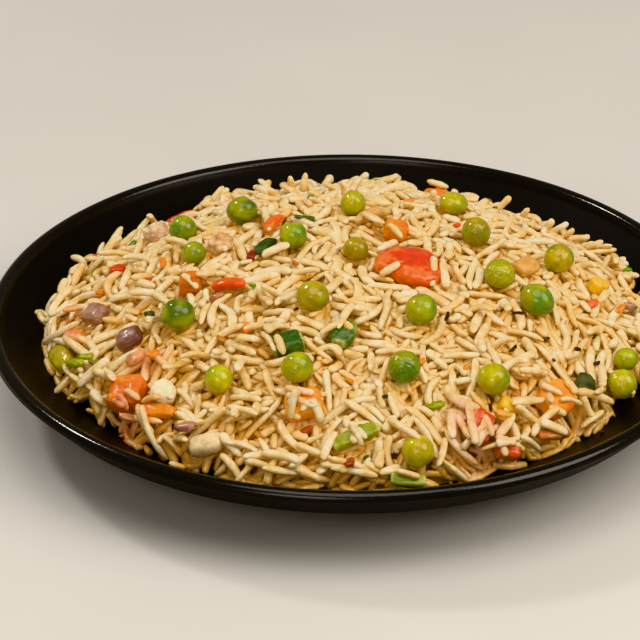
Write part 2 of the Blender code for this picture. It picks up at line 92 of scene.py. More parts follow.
# Grains of cooked rice
SHADE_START = 0.0006
SHADE_DEPTH = 0.0030
ZONE_LENGTH = 0.012
SEED = 5
GRAIN_LENGTH = (0.0112, 0.0016)
GRAIN_LIMITS = (0.0074, 0.0146)
BROKEN_SHARE = 0.22
BUNDLED_SHARE = 0.2
EDGE_SHARE = 0.85
BROKEN_LENGTHS = (0.0034, 0.0066)
GRAIN_WIDTH = 0.00228
GRAIN_THICKNESS = 0.00182
GRAIN_SAMPLES = 11
CELL = 0.00035
FIELD_REACH = 0.0945
CORE_DEPTH = 0.0048
CORE_INSET = 0.0065
CORE_EDGE = 0.010
TOP_MARGIN = 0.0026
EDGE_SLOPE = 0.0075
EDGE_OUT = 0.0004
EDGE_ROUGHNESS = 0.0035
ROUGHNESS = 0.0011
ROUGH_LENGTH = 0.0075
ROUGH_SLICE = 7.0 * CELL
BACK_LOW = 0.0008
BACK_START = 0.005
BACK_REACH = 0.03
BACK_SIDE = -0.008
BACK_WIDTH = 0.035
THROWS = 11000
BED_SPACING = 0.0027
BED_DEPTHS = (0.0006, 0.0021)
BED_TILT = 0.22
BED_HALF = 0.0035
BED_JITTER = 0.45
BED_BOW = 0.14
BED_HOOK = 0.06
BED_SIZES = (0.85, 1.1)
BED_TONE = 0.45
CANDIDATES = 8


def edge_noise(angle):
    """Unevenness of the heap's edge."""
    return noise.noise(Vector((math.cos(angle), math.sin(angle), 0)) * 7.0)


def bowl_height(radius):
    """Height of the plate's inner surface at a distance from its axis."""
    span = PLATE_RADIUS - WALL - FLOOR_RADIUS
    share = np.maximum(radius - FLOOR_RADIUS, 0.0) / span
    return FLOOR_TOP + (PLATE_HEIGHT - WALL / 2 - FLOOR_TOP) * share ** CURVE_POWER


def plate_surface(x, y):
    """Height of the plate's inner surface, and of the floor outside it."""
    radius = math.hypot(x, y)
    return float(bowl_height(radius)) if radius < PLATE_RADIUS - WALL else 0.0


def heap_radius(angle):
    """Distance from the axis to the heap's edge, in this direction."""
    return HEAP_RADIUS + HEAP_LOBE_4 * np.cos(4 * angle) + HEAP_LOBE_3 * np.cos(3 * angle + 1)


def heap_top(x, y):
    """Height of the top of the grains."""
    share = math.hypot(x, y) / (heap_radius(math.atan2(y, x)) + DOME_MARGIN)
    swell = SWELL * noise.noise(Vector((x / SWELL_LENGTH, y / SWELL_LENGTH, SWELL_SLICE)))
    behind = min(max((y - DIP_START) / DIP_REACH, 0.0), 1.0)
    dip = BACK_DIP * behind ** 2 * math.exp(-(x / DIP_WIDTH) ** 2)
    return DOME_BASE + DOME_RISE * (1 - share ** DOME_POWER) + swell - dip


def view_axes():
    """Directions ahead of, and up from, the photograph's camera."""
    ahead = Vector((0, math.cos(ELEVATION), -math.sin(ELEVATION)))
    upward = Vector((0, math.sin(ELEVATION), math.cos(ELEVATION)))
    return ahead, upward


def on_surface(pixel, lift, surface=heap_top):
    """Where the sight through a pixel comes down to `lift` above a surface, or passes nearest to it."""
    ahead, upward = view_axes()
    across = (pixel[0] - CENTRE_PIXEL) / FOCAL_PIXELS
    down = (pixel[1] - CENTRE_PIXEL) / FOCAL_PIXELS
    eye = AIM - DISTANCE * ahead
    sight = ahead + Vector((across, 0, 0)) - down * upward

    def clearance(distance):
        point = eye + distance * sight
        return point.z - surface(point.x, point.y) - lift

    distances = np.arange(DISTANCE - SIGHT_REACH, DISTANCE + SIGHT_REACH, SIGHT_STEP).tolist()
    clear = [clearance(distance) for distance in distances]
    if min(clear) > 0:
        return eye + distances[clear.index(min(clear))] * sight
    high = next(distance for distance, gap in zip(distances, clear) if gap <= 0)
    low = high - SIGHT_STEP
    for _ in range(BISECTIONS):
        middle = (low + high) / 2
        if clearance(middle) > 0:
            low = middle
        else:
            high = middle
    return eye + high * sight


def node_points(node):
    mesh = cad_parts[node].data
    points = np.empty(3 * len(mesh.vertices))
    mesh.vertices.foreach_get("co", points)
    return points.reshape(-1, 3)


# How toppings close the field to grains, how rice banks up round the peas, and where juice stains it
COVER_STEPS = 40
CLEAR_MIDDLE = 4
COVERED_RIM = 6
BESIDE = 2
BANK_RISE = 0.0016
BANK_BEHIND = 0.0030
BANK_REACH = 0.0065
PINK = (0.88, 0.52, 0.36)
RUST = (0.62, 0.13, 0.03)
STAINS = (
    ((465, 425), 0.0090, PINK, 0.55),
    ((490, 440), 0.0080, PINK, 0.45),
    ((120, 410), 0.0085, PINK, 0.60),
    ((118, 424), 0.0050, RUST, 0.75),
    ((300, 404), 0.0055, PINK, 0.45),
    ((152, 412), 0.0060, (0.84, 0.36, 0.06), 0.55),
    ((68, 322), 0.0045, (0.80, 0.25, 0.06), 0.60),
    ((150, 360), 0.0062, (0.66, 0.21, 0.035), 0.62),
    ((545, 405), 0.0060, PINK, 0.30),
)
TOPPINGS = sorted(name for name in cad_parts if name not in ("plate", "rice"))


Grain = namedtuple("Grain", "x y turn half bow hook size axis tone")


def around(grid):
    """A grid without its border, and the same moved by one cell each way."""
    return grid[1:-1, 1:-1], grid[2:, 1:-1], grid[:-2, 1:-1], grid[1:-1, 2:], grid[1:-1, :-2]


class Field:
    """Height of whatever lies on the plate, on a square grid seen from above, and the grains laid."""

    def __init__(self):
        count = int(2 * FIELD_REACH / CELL) + 1
        axis = -FIELD_REACH + CELL * np.arange(count)
        self.count = count
        self.x, self.y = np.meshgrid(axis, axis, indexing="ij")
        radius = np.hypot(self.x, self.y)
        angle = np.arctan2(self.y, self.x)
        self.plate = bowl_height(radius)
        self.top = np.array([[heap_top(x, y) for y in axis] for x in axis])
        edge = heap_radius(angle) + EDGE_ROUGHNESS * np.vectorize(edge_noise)(angle)
        self.inside = np.clip((edge + EDGE_OUT - radius) / EDGE_SLOPE, 0, 1)
        rough = np.array([[noise.noise(Vector((x, y, ROUGH_SLICE)) / ROUGH_LENGTH)
                           for y in axis] for x in axis])
        behind = np.clip((self.y - BACK_START) / BACK_REACH, 0, 1)
        top = self.top - TOP_MARGIN + ROUGHNESS * rough
        top -= BACK_LOW * behind * np.exp(-((self.x - BACK_SIDE) / BACK_WIDTH) ** 2)
        self.target = self.plate + (top - self.plate) * (1 - (1 - self.inside) ** 2)
        within = np.clip((edge - CORE_INSET - radius) / CORE_EDGE, 0, 1)
        self.core = self.plate + (self.top - CORE_DEPTH - self.plate) * (1 - (1 - within) ** 2)
        self.height = self.core.copy()
        self.closed = np.zeros_like(self.height, dtype=bool)
        self.beside = self.closed.copy()
        self.grains = []

    def find_slopes(self):
        self.slope_x = np.gradient(self.target, CELL, axis=0)
        self.slope_y = np.gradient(self.target, CELL, axis=1)

    def bank(self, node):
        """Raises the grains around a pea, which sits in them, and more so behind it."""
        low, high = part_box(node)
        centre = (low + high) / 2
        away = np.hypot(self.x - centre.x, self.y - centre.y)
        rise = BANK_RISE + BANK_BEHIND * np.clip((self.y - centre.y) / BANK_REACH, 0, 1)
        self.target += rise * np.clip(3 * self.inside, 0, 1) * np.exp(-(away / BANK_REACH) ** 2)

    def settle(self):
        """Finds the smooth surface over the grains, whose height above each point sets the painted shade
        there, and where juice stains them.
        """
        cover = self.height
        for _ in range(COVER_STEPS):
            cover = sum(around(np.pad(cover, 1, mode="edge"))) / 5
        self.cover = cover
        self.stains = [(on_surface(pixel, 0.0), *stain) for pixel, *stain in STAINS]

    def cell(self, x, y):
        """Grid indices nearest to places."""
        i = np.clip(np.rint((x + FIELD_REACH) / CELL).astype(int), 0, self.count - 1)
        j = np.clip(np.rint((y + FIELD_REACH) / CELL).astype(int), 0, self.count - 1)
        return i, j

    def surface(self, x, y):
        return float(self.height[self.cell(x, y)])

    def add_topping(self, node):
        """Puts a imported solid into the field, and closes the middle of it to grains."""
        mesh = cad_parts[node].data
        tree = BVHTree.FromPolygons([v.co for v in mesh.vertices], [p.vertices for p in mesh.polygons])
        low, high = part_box(node)
        start, end = self.cell(np.array((low.x, high.x)), np.array((low.y, high.y)))
        down = Vector((0, 0, -1))
        covered = np.zeros_like(self.closed)
        for i in range(start[0], start[1] + 1):
            for j in range(end[0], end[1] + 1):
                hit = tree.ray_cast(Vector((self.x[i, j], self.y[i, j], 1.0)), down)[0]
                if hit is not None:
                    covered[i, j] = True
                    self.height[i, j] = max(self.height[i, j], hit.z)
        outer = covered.copy()
        for _ in range(BESIDE):
            outer[1:-1, 1:-1] = np.any(around(outer), axis=0)
        self.beside |= outer
        inner = covered.copy()
        for _ in range(CLEAR_MIDDLE if node.startswith("pea") else COVERED_RIM):
            inner[1:-1, 1:-1] = np.all(around(inner), axis=0)
        self.closed |= inner


SHARES = np.linspace(-1, 1, GRAIN_SAMPLES)
MIDDLE = GRAIN_SAMPLES // 2
SIDE_SHARES = np.array((-0.75, 0.0, 0.75))
SIDE_LIFTS = np.sqrt(1 - SIDE_SHARES ** 2)


def grain_profile(share):
    """Half width of a grain along its length, as a share of the widest."""
    return np.sqrt(np.maximum(1 - np.abs(share) ** 5, 0.0)) * (1 - 0.08 * share)


def bow_offset(share, bow, hook):
    """How far a curved grain's middle line stands to its side."""
    return bow * (share ** 2 - 1 / 3) + hook * share ** 3


def spread(x, y, cos, sin, reach, side):
    """Places on a grain, by how far along it and to its side they are."""
    return x + reach * cos - side * sin, y + reach * sin + side * cos


def supports(field, x, y, turn, half, bow, hook, size):
    """Lowest height of each grain's middle line at its samples, over what lies below it."""
    reach = SHARES[None, :, None] * half[:, None, None]
    side = bow_offset(SHARES[None, :], bow[:, None], hook[:, None])[:, :, None]
    side = side + SIDE_SHARES * (GRAIN_WIDTH / 2 * size)[:, None, None] * grain_profile(SHARES)[None, :, None]
    cos, sin = np.cos(turn)[:, None, None], np.sin(turn)[:, None, None]
    i, j = field.cell(*spread(x[:, None, None], y[:, None, None], cos, sin, reach, side))
    lift = GRAIN_THICKNESS / 2 * SIDE_LIFTS * grain_profile(SHARES)[:, None]
    heights = field.height[i, j] + lift * size[:, None, None]
    return heights.max(axis=2), field.closed[i, j].any(axis=(1, 2))


def resting_line(heights, half):
    """Height at the middle, and the least and greatest slope, of a line that rests on the samples."""
    ahead = SHARES[MIDDLE + 1:]
    left, right = heights[:, MIDDLE - 1::-1], heights[:, MIDDLE + 1:]
    weights = ahead[None, :] / (ahead[:, None] + ahead[None, :])
    pairs = left[:, :, None] * weights + right[:, None, :] * (1 - weights)
    middle = np.maximum(pairs.reshape(len(heights), -1).max(axis=1), heights[:, MIDDLE])
    least = ((right - middle[:, None]) / (ahead * half[:, None])).max(axis=1)
    most = ((middle[:, None] - left) / (ahead * half[:, None])).min(axis=1)
    return middle, least, most


def relaxed(heights, line, reach):
    """Middle line of a grain that droops onto whatever it lies on."""
    axis = np.maximum(heights, line - DROOP * (reach / DROOP_LENGTH) ** 2) - SINK
    axis[1:-1] = 0.25 * axis[:-2] + 0.5 * axis[1:-1] + 0.25 * axis[2:]
    return axis


# Single grains of the photograph, by the pixels at their ends, and their bow as a share of half their length
LONE_GRAINS = (
    (412, 247, 427, 289, 0.1), (434, 258, 432, 288, -0.1), (442, 262, 446, 290, 0.05),
    (378, 252, 398, 243, 0.1), (606, 372, 634, 396, 0.05), (541, 388, 562, 398, 0.1),
    (566, 383, 577, 399, 0), (560, 401, 580, 406, -0.1), (124, 392, 140, 402, 0.1), (142, 404, 160, 398, 0),
    (54, 341, 82, 351, -0.05), (350, 424, 366, 440, 0.05), (272, 393, 327, 398, 0.3),
    (286, 398, 312, 411, 0.05), (45, 325, 80, 303, 0.35), (52, 291, 78, 298, -0.35), (74, 300, 98, 272, 0.4),
    (202, 214, 201, 240, 0.05), (110, 249, 142, 247, 0), (62, 340, 92, 360, 0.1),
    (230, 399, 262, 402, -0.05), (226, 409, 258, 416, 0.05), (224, 424, 270, 410, 0.05),
    (200, 443, 262, 432, 0.1), (262, 452, 300, 468, -0.15), (330, 470, 378, 478, 0.05),
    (388, 420, 420, 440, 0), (480, 452, 520, 440, 0.1), (455, 415, 470, 440, 0.1),
    (450, 410, 452, 440, 0.05), (476, 440, 500, 428, 0.05), (560, 436, 590, 440, -0.05),
    (580, 430, 604, 412, 0.1), (320, 340, 344, 322, 0.05), (338, 330, 352, 306, 0),
    (262, 258, 290, 246, 0.1), (270, 232, 262, 212, 0.05), (276, 352, 262, 334, 0.1),
    (408, 352, 440, 342, -0.05), (284, 392, 314, 396, 0.15), (288, 408, 300, 392, 0.05),
    (300, 412, 322, 400, -0.1), (284, 404, 318, 408, 0.1), (296, 390, 290, 420, 0.15),
    (312, 400, 322, 424, 0), (280, 414, 300, 420, 0.05), (128, 420, 162, 424, 0.1),
    (468, 402, 474, 432, 0.05), (486, 420, 478, 448, -0.1), (500, 440, 524, 452, 0),
    (540, 426, 568, 436, 0.05), (380, 280, 400, 268, 0.1), (548, 410, 566, 416, 0.05),
    (540, 384, 552, 404, 0.05), (118, 396, 128, 412, 0.05), (104, 398, 124, 408, -0.05),
    (470, 420, 476, 446, 0), (484, 416, 492, 438, 0.05), (496, 446, 516, 444, 0.05), (498, 436, 506, 458, 0),
    (520, 438, 540, 452, -0.05), (388, 226, 402, 240, 0.05), (182, 276, 198, 290, 0),
    (196, 278, 214, 272, 0.05), (362, 214, 384, 224, 0.05), (144, 226, 160, 240, 0), (214, 236, 226, 252, 0),
    (330, 322, 352, 330, 0.05), (276, 336, 284, 356, 0), (340, 432, 356, 444, 0.05), (352, 428, 362, 448, 0),
    (396, 476, 420, 482, 0), (148, 386, 172, 400, 0.1), (520, 372, 548, 376, 0.1), (300, 262, 330, 270, 0),
)
# Grains that stand out of the heap, by the pixels at their feet and tips
STANDING = (
    ((293, 192), (290, 177)), ((302, 192), (306, 173)), ((274, 198), (270, 189)), ((345, 196), (343, 183)),
    ((431, 201), (434, 191)), ((497, 210), (510, 197)), ((521, 219), (527, 209)), ((544, 230), (553, 220)),
    ((562, 240), (572, 230)),
)
STRAY = ((169, 463), (186, 468))
# Grains at the back, at the foot of the heap, and leaning out of it
SHELTERED = ("pea_22", "pea_23", "pea_24", "pea_25")
SHELTER_GRAINS = 7
SHELTER_REACH = 0.0028
SHELTER_SINK = 0.0004
SHELTER_TURNS = (-2.5, -0.64)
SHELTER_TONE = 0.1
STANDING_SINK = 0.0015
LONE_LIMIT = 0.0150
LONE_SLOPE = 1.0
LONE_LIFT = 0.0022
LEANT_ARCH = 0.0006
RIM_INSETS = ((0.0004, 0.0024), (0.0022, 0.0050))
RIM_STEP = 0.040
RIM_HALVES = (0.0026, 0.0056)
RIM_TURN = 0.6
RIM_BOW = 0.25
RIM_SIZES = (0.88, 1.12)
RIM_TONE = (0.06, 0.28)
LEANING = 320
LEAN_LENGTHS = (0.0065, 0.0115)
LEAN_RISE = (0.0010, 0.0038)
LEAN_BACK = 0.02
LEAN_TOP = 0.0014
LEAN_SINK = 0.0012
LEAN_CLEAR = 0.0004
LEAN_WITHIN = 0.15
LEAN_TONE = (0.05, 0.25)
LEAN_BOW = 0.28
LEAN_ARCH = 0.0012
LONE_HALF = 0.0015
LONE_TONE = 0.05
LEANT_UP = 0.0004
LEANT_NEARER = 0.0008
STANDING_TONE = 0.15
STANDING_AHEAD = (0.001, 0.004)


def rest(field, x, y, turn, half, bow, size, wanted):
    """Middle line of one grain over whatever lies there, nearest to a slope, and whether it is blocked."""
    one = [np.array((value,)) for value in (x, y, turn, half, bow, 0.0, size)]
    heights, blocked = supports(field, *one)
    height, least, most = resting_line(heights, one[3])
    slope = np.clip(wanted, min(least[0], most[0]), max(least[0], most[0]))
    reach = SHARES * half
    return relaxed(heights[0], height[0] + np.clip(slope, -LONE_SLOPE, LONE_SLOPE) * reach, reach), blocked[0]


def lay_rim(field, chance):
    """Whole grains along the foot of the heap."""
    for inset in RIM_INSETS:
        for angle in np.arange(0, 2 * math.pi, RIM_STEP) + chance.uniform(0, RIM_STEP):
            radius = heap_radius(angle) + EDGE_ROUGHNESS * edge_noise(angle) - chance.uniform(*inset)
            x, y = radius * math.cos(angle), radius * math.sin(angle)
            turn, half = angle + math.pi / 2 + chance.normal(0, RIM_TURN), chance.uniform(*RIM_HALVES)
            bow, size = chance.normal(0, RIM_BOW) * half, chance.uniform(*RIM_SIZES)
            axis, blocked = rest(field, x, y, turn, half, bow, size, 0.0)
            place = field.cell(x, y)
            if not blocked and not field.beside[place] and field.height[place] < field.top[place]:
                lay(field, x, y, turn, half, bow, 0.0, axis, size, chance.normal(*RIM_TONE))


def lay_lone(field, start, end, bow):
    """Lays one grain of the photograph over whatever lies there."""
    first, last = (on_surface(pixel, 0.0, field.surface) for pixel in (start, end))
    flat = last - first
    if flat.length > LONE_LIMIT:
        return
    x, y, _ = (first + last) / 2
    half, turn = max(math.hypot(flat.x, flat.y) / 2, LONE_HALF), math.atan2(flat.y, flat.x)
    axis, _ = rest(field, x, y, turn, half, bow * half, 1.0, flat.z / (2 * half))
    if max(axis[0] - first.z, axis[-1] - last.z) < LONE_LIFT:
        lay(field, x, y, turn, half, bow * half, 0.0, axis, 1.0, LONE_TONE)
    else:
        nearer = LEANT_UP * Vector((0, 0, 1)) - LEANT_NEARER * view_axes()[0]
        lay_standing(field, first + nearer, last + nearer, LONE_TONE, bow, LEANT_ARCH)


def lay_standing(field, foot, tip, tone, bow=0.06, arch=0.0):
    """Lays one grain that stands out of the heap, from its foot to its tip."""
    flat = tip - foot
    half = max(math.hypot(flat.x, flat.y) / 2, 0.0006)
    axis = np.interp(SHARES, (-1, 1), (foot.z, tip.z)) + arch * (1 - SHARES ** 2)
    middle = (foot + tip) / 2
    lay(field, middle.x, middle.y, math.atan2(flat.y, flat.x), half, bow * half, 0.0, axis, 1.0, tone)


def shelter(field, node, chance):
    """Leans grains against the near side of a pea that the photograph doesn't show."""
    low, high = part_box(node)
    centre, reach = (low + high) / 2, (high.x - low.x) / 2
    for turn in np.linspace(*SHELTER_TURNS, SHELTER_GRAINS):
        turn += chance.normal(0, 0.12)
        out = Vector((math.cos(turn), math.sin(turn), 0))
        foot = centre + out * (reach + SHELTER_REACH)
        foot.z = float(field.target[field.cell(foot.x, foot.y)]) - SHELTER_SINK
        tip = centre + out * (reach * 0.35) + Vector((chance.normal(0, 0.0012), 0, 0))
        tip.z = high.z + chance.uniform(0.0, 0.0008)
        lay_standing(field, foot, tip, SHELTER_TONE)


def lay_leaning(field, chance):
    """Grains all over the heap that lean out of it."""
    for _ in range(LEANING):
        angle, radius = chance.uniform(0, 2 * math.pi), HEAP_RADIUS * 0.93 * math.sqrt(chance.random())
        x, y = radius * math.cos(angle), radius * math.sin(angle)
        i, j = field.cell(x, y)
        turn = float(edge_turn(field, x, y, chance.uniform(0, 2 * math.pi), chance))
        length = chance.uniform(*LEAN_LENGTHS)
        rise = chance.uniform(*LEAN_RISE) * (1.0 if y < LEAN_BACK else 0.5)
        flat = math.sqrt(length ** 2 - rise ** 2)
        foot = Vector((x, y, min(field.height[i, j], field.target[i, j] + LEAN_TOP) - LEAN_SINK))
        top = foot + Vector((flat * math.cos(turn), flat * math.sin(turn), rise))
        path = np.linspace(0, 1, 7)
        i, j = field.cell(foot.x + path * flat * math.cos(turn), foot.y + path * flat * math.sin(turn))
        clear = top.z > field.height[i[-1], j[-1]] + LEAN_CLEAR
        if clear and field.inside[i, j].min() > LEAN_WITHIN and not field.beside[i, j].any():
            tone, bow = chance.normal(*LEAN_TONE), chance.normal(0, LEAN_BOW)
            lay_standing(field, foot, top, tone, bow, chance.uniform(0, LEAN_ARCH))


def lay_details(field, chance):
    """The single grains that the photograph shows, and others that lean out of the heap."""
    ahead, upward = view_axes()
    lay_rim(field, chance)
    for foot, tip in STANDING:
        base = on_surface(foot, -STANDING_SINK)
        scale = (base - AIM + DISTANCE * ahead).dot(ahead) / FOCAL_PIXELS
        top = base + Vector(((tip[0] - foot[0]) * scale, 0, 0)) + (foot[1] - tip[1]) * scale * upward
        lay_standing(field, base, top - ahead * chance.uniform(*STANDING_AHEAD), STANDING_TONE)
    lay_leaning(field, chance)
    for *ends, bow in LONE_GRAINS:
        lay_lone(field, ends[:2], ends[2:], bow)
    for node in SHELTERED:
        shelter(field, node, chance)
    start, end = (on_surface(pixel, GRAIN_THICKNESS / 2, plate_surface) for pixel in STRAY)
    lay_standing(field, start, end, 0.0)


# How a thrown grain settles, and how the grains vary
DROOP = 0.0005
DROOP_LENGTH = 0.005
SINK = 0.00014
SLOPE_LIMIT = 0.95
OVER = 0.0017
OVER_TILT = 0.3
BATCH = 40
BUNDLE_SPREAD = 0.4
BUNDLE_TURNS = 5.0
BUNDLE_LENGTH = 0.015
BOW_SPREAD = 0.27
HOOK_SPREAD = 0.12
SIZE_SPREAD = 0.10
SIZE_LIMITS = (0.80, 1.22)
LOWEST_SCORE = -0.001
SCORE_SPREAD = 0.0006
TONE = (0.06, 0.32)
TONE_LIMITS = (-0.45, 0.9)
EDGE_SPREAD = 0.55


def shared_turn(x, y):
    """The direction that neighbouring grains tend to share."""
    return np.array([BUNDLE_TURNS * noise.noise(Vector((u, v, 0.0)) / BUNDLE_LENGTH) for u, v in zip(x, y)])


def edge_turn(field, x, y, turn, chance):
    """Turns most grains near the heap's edge to lie along it."""
    along = np.arctan2(y, x) + math.pi / 2 + chance.normal(0, EDGE_SPREAD, np.shape(x))
    near = chance.random(np.shape(x)) < EDGE_SHARE * np.clip(1.5 - 2.2 * field.inside[field.cell(x, y)], 0, 1)
    return np.where(near, along, turn)


def short_places(field, chance, count):
    """Places drawn where the heap is still too low."""
    short = (np.maximum(field.target - field.height, 0) * (field.inside > 0) * ~field.closed).ravel()
    total = np.cumsum(short)
    picks = np.searchsorted(total, chance.uniform(0, total[-1], count))
    jitter = chance.uniform(-CELL / 2, CELL / 2, (2, count))
    return field.x.ravel()[picks] + jitter[0], field.y.ravel()[picks] + jitter[1]


def lay_grains(field, chance):
    """Fills the heap with grains, thrown where it is still too low."""
    lay_bed(field, chance)
    for _ in range(THROWS // BATCH):
        x, y = short_places(field, chance, BATCH * CANDIDATES)
        for few in zip(x.reshape(BATCH, CANDIDATES), y.reshape(BATCH, CANDIDATES)):
            drop_grain(field, *few, chance)


def lay_bed(field, chance):
    """A dense lower layer, which shows between the grains on top."""
    steps = int(2 * HEAP_RADIUS / BED_SPACING) + 2
    for column, row in np.ndindex(steps, steps):
        jitter = chance.uniform(-BED_JITTER, BED_JITTER, 2)
        place = BED_SPACING * (np.array((column, row)) - steps / 2 + jitter)
        turn, half = chance.uniform(0, 2 * math.pi), max(chance.normal(*GRAIN_LENGTH) / 2, BED_HALF)
        turn = float(edge_turn(field, *place, turn, chance))
        bow, hook = chance.normal(0, BED_BOW) * half, chance.normal(0, BED_HOOK) * half
        size = chance.uniform(*BED_SIZES)
        depth, tilt = chance.uniform(*BED_DEPTHS), chance.normal(0, BED_TILT)
        side = bow_offset(SHARES, bow, hook)
        cell = field.cell(*spread(*place, math.cos(turn), math.sin(turn), SHARES * half, side))
        if field.inside[cell].min() > 0:
            wanted = field.target[cell] - depth * np.minimum(3 * field.inside[cell], 1) + tilt * SHARES * half
            axis = np.maximum(wanted, field.plate[cell] + GRAIN_THICKNESS / 2 * size * grain_profile(SHARES))
            lay(field, *place, turn, half, bow, hook, axis, size, BED_TONE)


def drop_grain(field, x, y, chance):
    """Lays one grain in the best of a few places."""
    count = len(x)
    turn = chance.uniform(0, 2 * math.pi, count)
    bundled = shared_turn(x, y) + chance.normal(0, BUNDLE_SPREAD, count)
    turn = edge_turn(field, x, y, np.where(chance.random(count) < BUNDLED_SHARE, bundled, turn), chance)
    if chance.random() < BROKEN_SHARE:
        length = chance.uniform(*BROKEN_LENGTHS)
    else:
        length = np.clip(chance.normal(*GRAIN_LENGTH), *GRAIN_LIMITS)
    half = np.full(count, length / 2)
    bow = chance.normal(0, BOW_SPREAD, count) * half
    hook = chance.normal(0, HOOK_SPREAD, count) * half
    size = np.full(count, np.clip(chance.normal(1.0, SIZE_SPREAD), *SIZE_LIMITS))
    heights, blocked = supports(field, x, y, turn, half, bow, hook, size)
    middle, least, most = resting_line(heights, half)
    cos, sin, cell = np.cos(turn), np.sin(turn), field.cell(x, y)
    local = field.slope_x[cell] * cos + field.slope_y[cell] * sin
    slope = np.where(chance.random(count) < 0.5, least, most)
    tilt = np.abs(slope - local)
    over = middle - field.target[cell]
    bad = blocked | (tilt > SLOPE_LIMIT) | (over + tilt * half * OVER_TILT > OVER)
    for end in (half, -half):
        bad |= field.inside[field.cell(x + end * cos, y + end * sin)] <= 0
    if bad.all():
        return
    score = np.maximum(over, LOWEST_SCORE) + chance.normal(0, SCORE_SPREAD, count) + bad
    best = int(np.argmin(score))
    reach = SHARES * half[best]
    axis = relaxed(heights[best], middle[best] + slope[best] * reach, reach)
    tone = np.clip(chance.normal(*TONE), *TONE_LIMITS)
    lay(field, *(each[best] for each in (x, y, turn, half, bow, hook)), axis, size[best], tone)


def lay(field, x, y, turn, half, bow, hook, axis, size, tone):
    """Adds one grain, and raises the field over it."""
    reach = half + abs(bow) + abs(hook) + GRAIN_WIDTH
    start, end = field.cell(np.array((x - reach, x + reach)), np.array((y - reach, y + reach)))
    window = slice(start[0], start[1] + 1), slice(end[0], end[1] + 1)
    away_x, away_y = field.x[window] - x, field.y[window] - y
    along = (away_x * math.cos(turn) + away_y * math.sin(turn)) / half
    across = -away_x * math.sin(turn) + away_y * math.cos(turn) - bow_offset(along, bow, hook)
    profile = grain_profile(np.clip(along, -1, 1))
    share = np.abs(across) / np.maximum(GRAIN_WIDTH / 2 * size * profile, 1e-6)
    under = (np.abs(along) < 1) & (share < 1)
    top = np.interp(along, SHARES, axis)
    top += GRAIN_THICKNESS / 2 * size * profile * np.sqrt(np.maximum(1 - share ** 2, 0))
    field.height[window] = np.where(under, np.maximum(field.height[window], top), field.height[window])
    field.grains.append(Grain(x, y, turn, half, bow, hook, size, axis, tone))


# Form and colour of the meshes of grains; gold and amber are painted shade, on each grain's underside and
# between the grains, and the paler ends are a painted glow
BURIED_DEPTH = 0.0004
SHOWN_DETAIL = (9, 9)
HIDDEN_DETAIL = (5, 6)
SHOWN_EACH = 900
HIDDEN_EACH = 2500
ROLL_SPREAD = 0.45
END_POWERS = (3.2, 8.0)
TAPER_SPREAD = 0.10
LUMP_SPREAD = 0.065
FACET_DEPTH = 0.055
GROOVE_DEPTH = 0.10
GROOVE_HALF = 0.5
FLATNESS = (0.88, 1.10)
GOLD_SHADE_DEEP = 0.35
GOLD_SHADE_BELOW = 0.75
GOLD_LESS = 0.12
GLOW_AT_ENDS = 0.20
GOLD_ZONES = 0.45
SHADE_AMBER_MOST = 0.85
SHADE_AMBER_FROM = 0.35
LIGHT_SPREAD = 0.03
IVORY = np.array((0.85, 0.725, 0.475))
GOLDEN = np.array((0.86, 0.63, 0.30))
SHADE_AMBER = np.array((0.84, 0.55, 0.19))


def new_object(name, data):
    made = bpy.data.objects.new(name, data)
    bpy.context.scene.collection.objects.link(made)
    return made


def new_mesh(name, points, faces):
    mesh = bpy.data.meshes.new(name)
    mesh.from_pydata(points, [], faces, shade_flat=False)
    return mesh


def circle(sides):
    return 2 * math.pi * np.arange(sides) / sides


def ring_faces(rings, sides):
    """Quads between rings of points, fans to a point before and after them, and the number of points."""
    side = np.arange(sides)
    after = (side + 1) % sides
    low = 1 + sides * np.arange(rings - 1)[:, None]
    quads = np.stack((low + side, low + sides + side, low + sides + after, low + after), axis=2)
    last = rings * sides + 1
    near = np.stack((0 * side, 1 + side, 1 + after), axis=1)
    far = last - np.stack((0 * side, sides - after, sides - side), axis=1)
    return quads.reshape(-1, 4), np.concatenate((near, far)), last + 1


def ring_mesh(name, first, rings, last):
    """A closed mesh through rings of points, between a first and a last point."""
    rings = np.array(rings)
    quads, fans, _ = ring_faces(*rings.shape[:2])
    return new_mesh(name, np.vstack((first, rings.reshape(-1, 3), last)), quads.tolist() + fans.tolist())


def blended(first, second, share):
    return first + share[..., None] * (second - first)


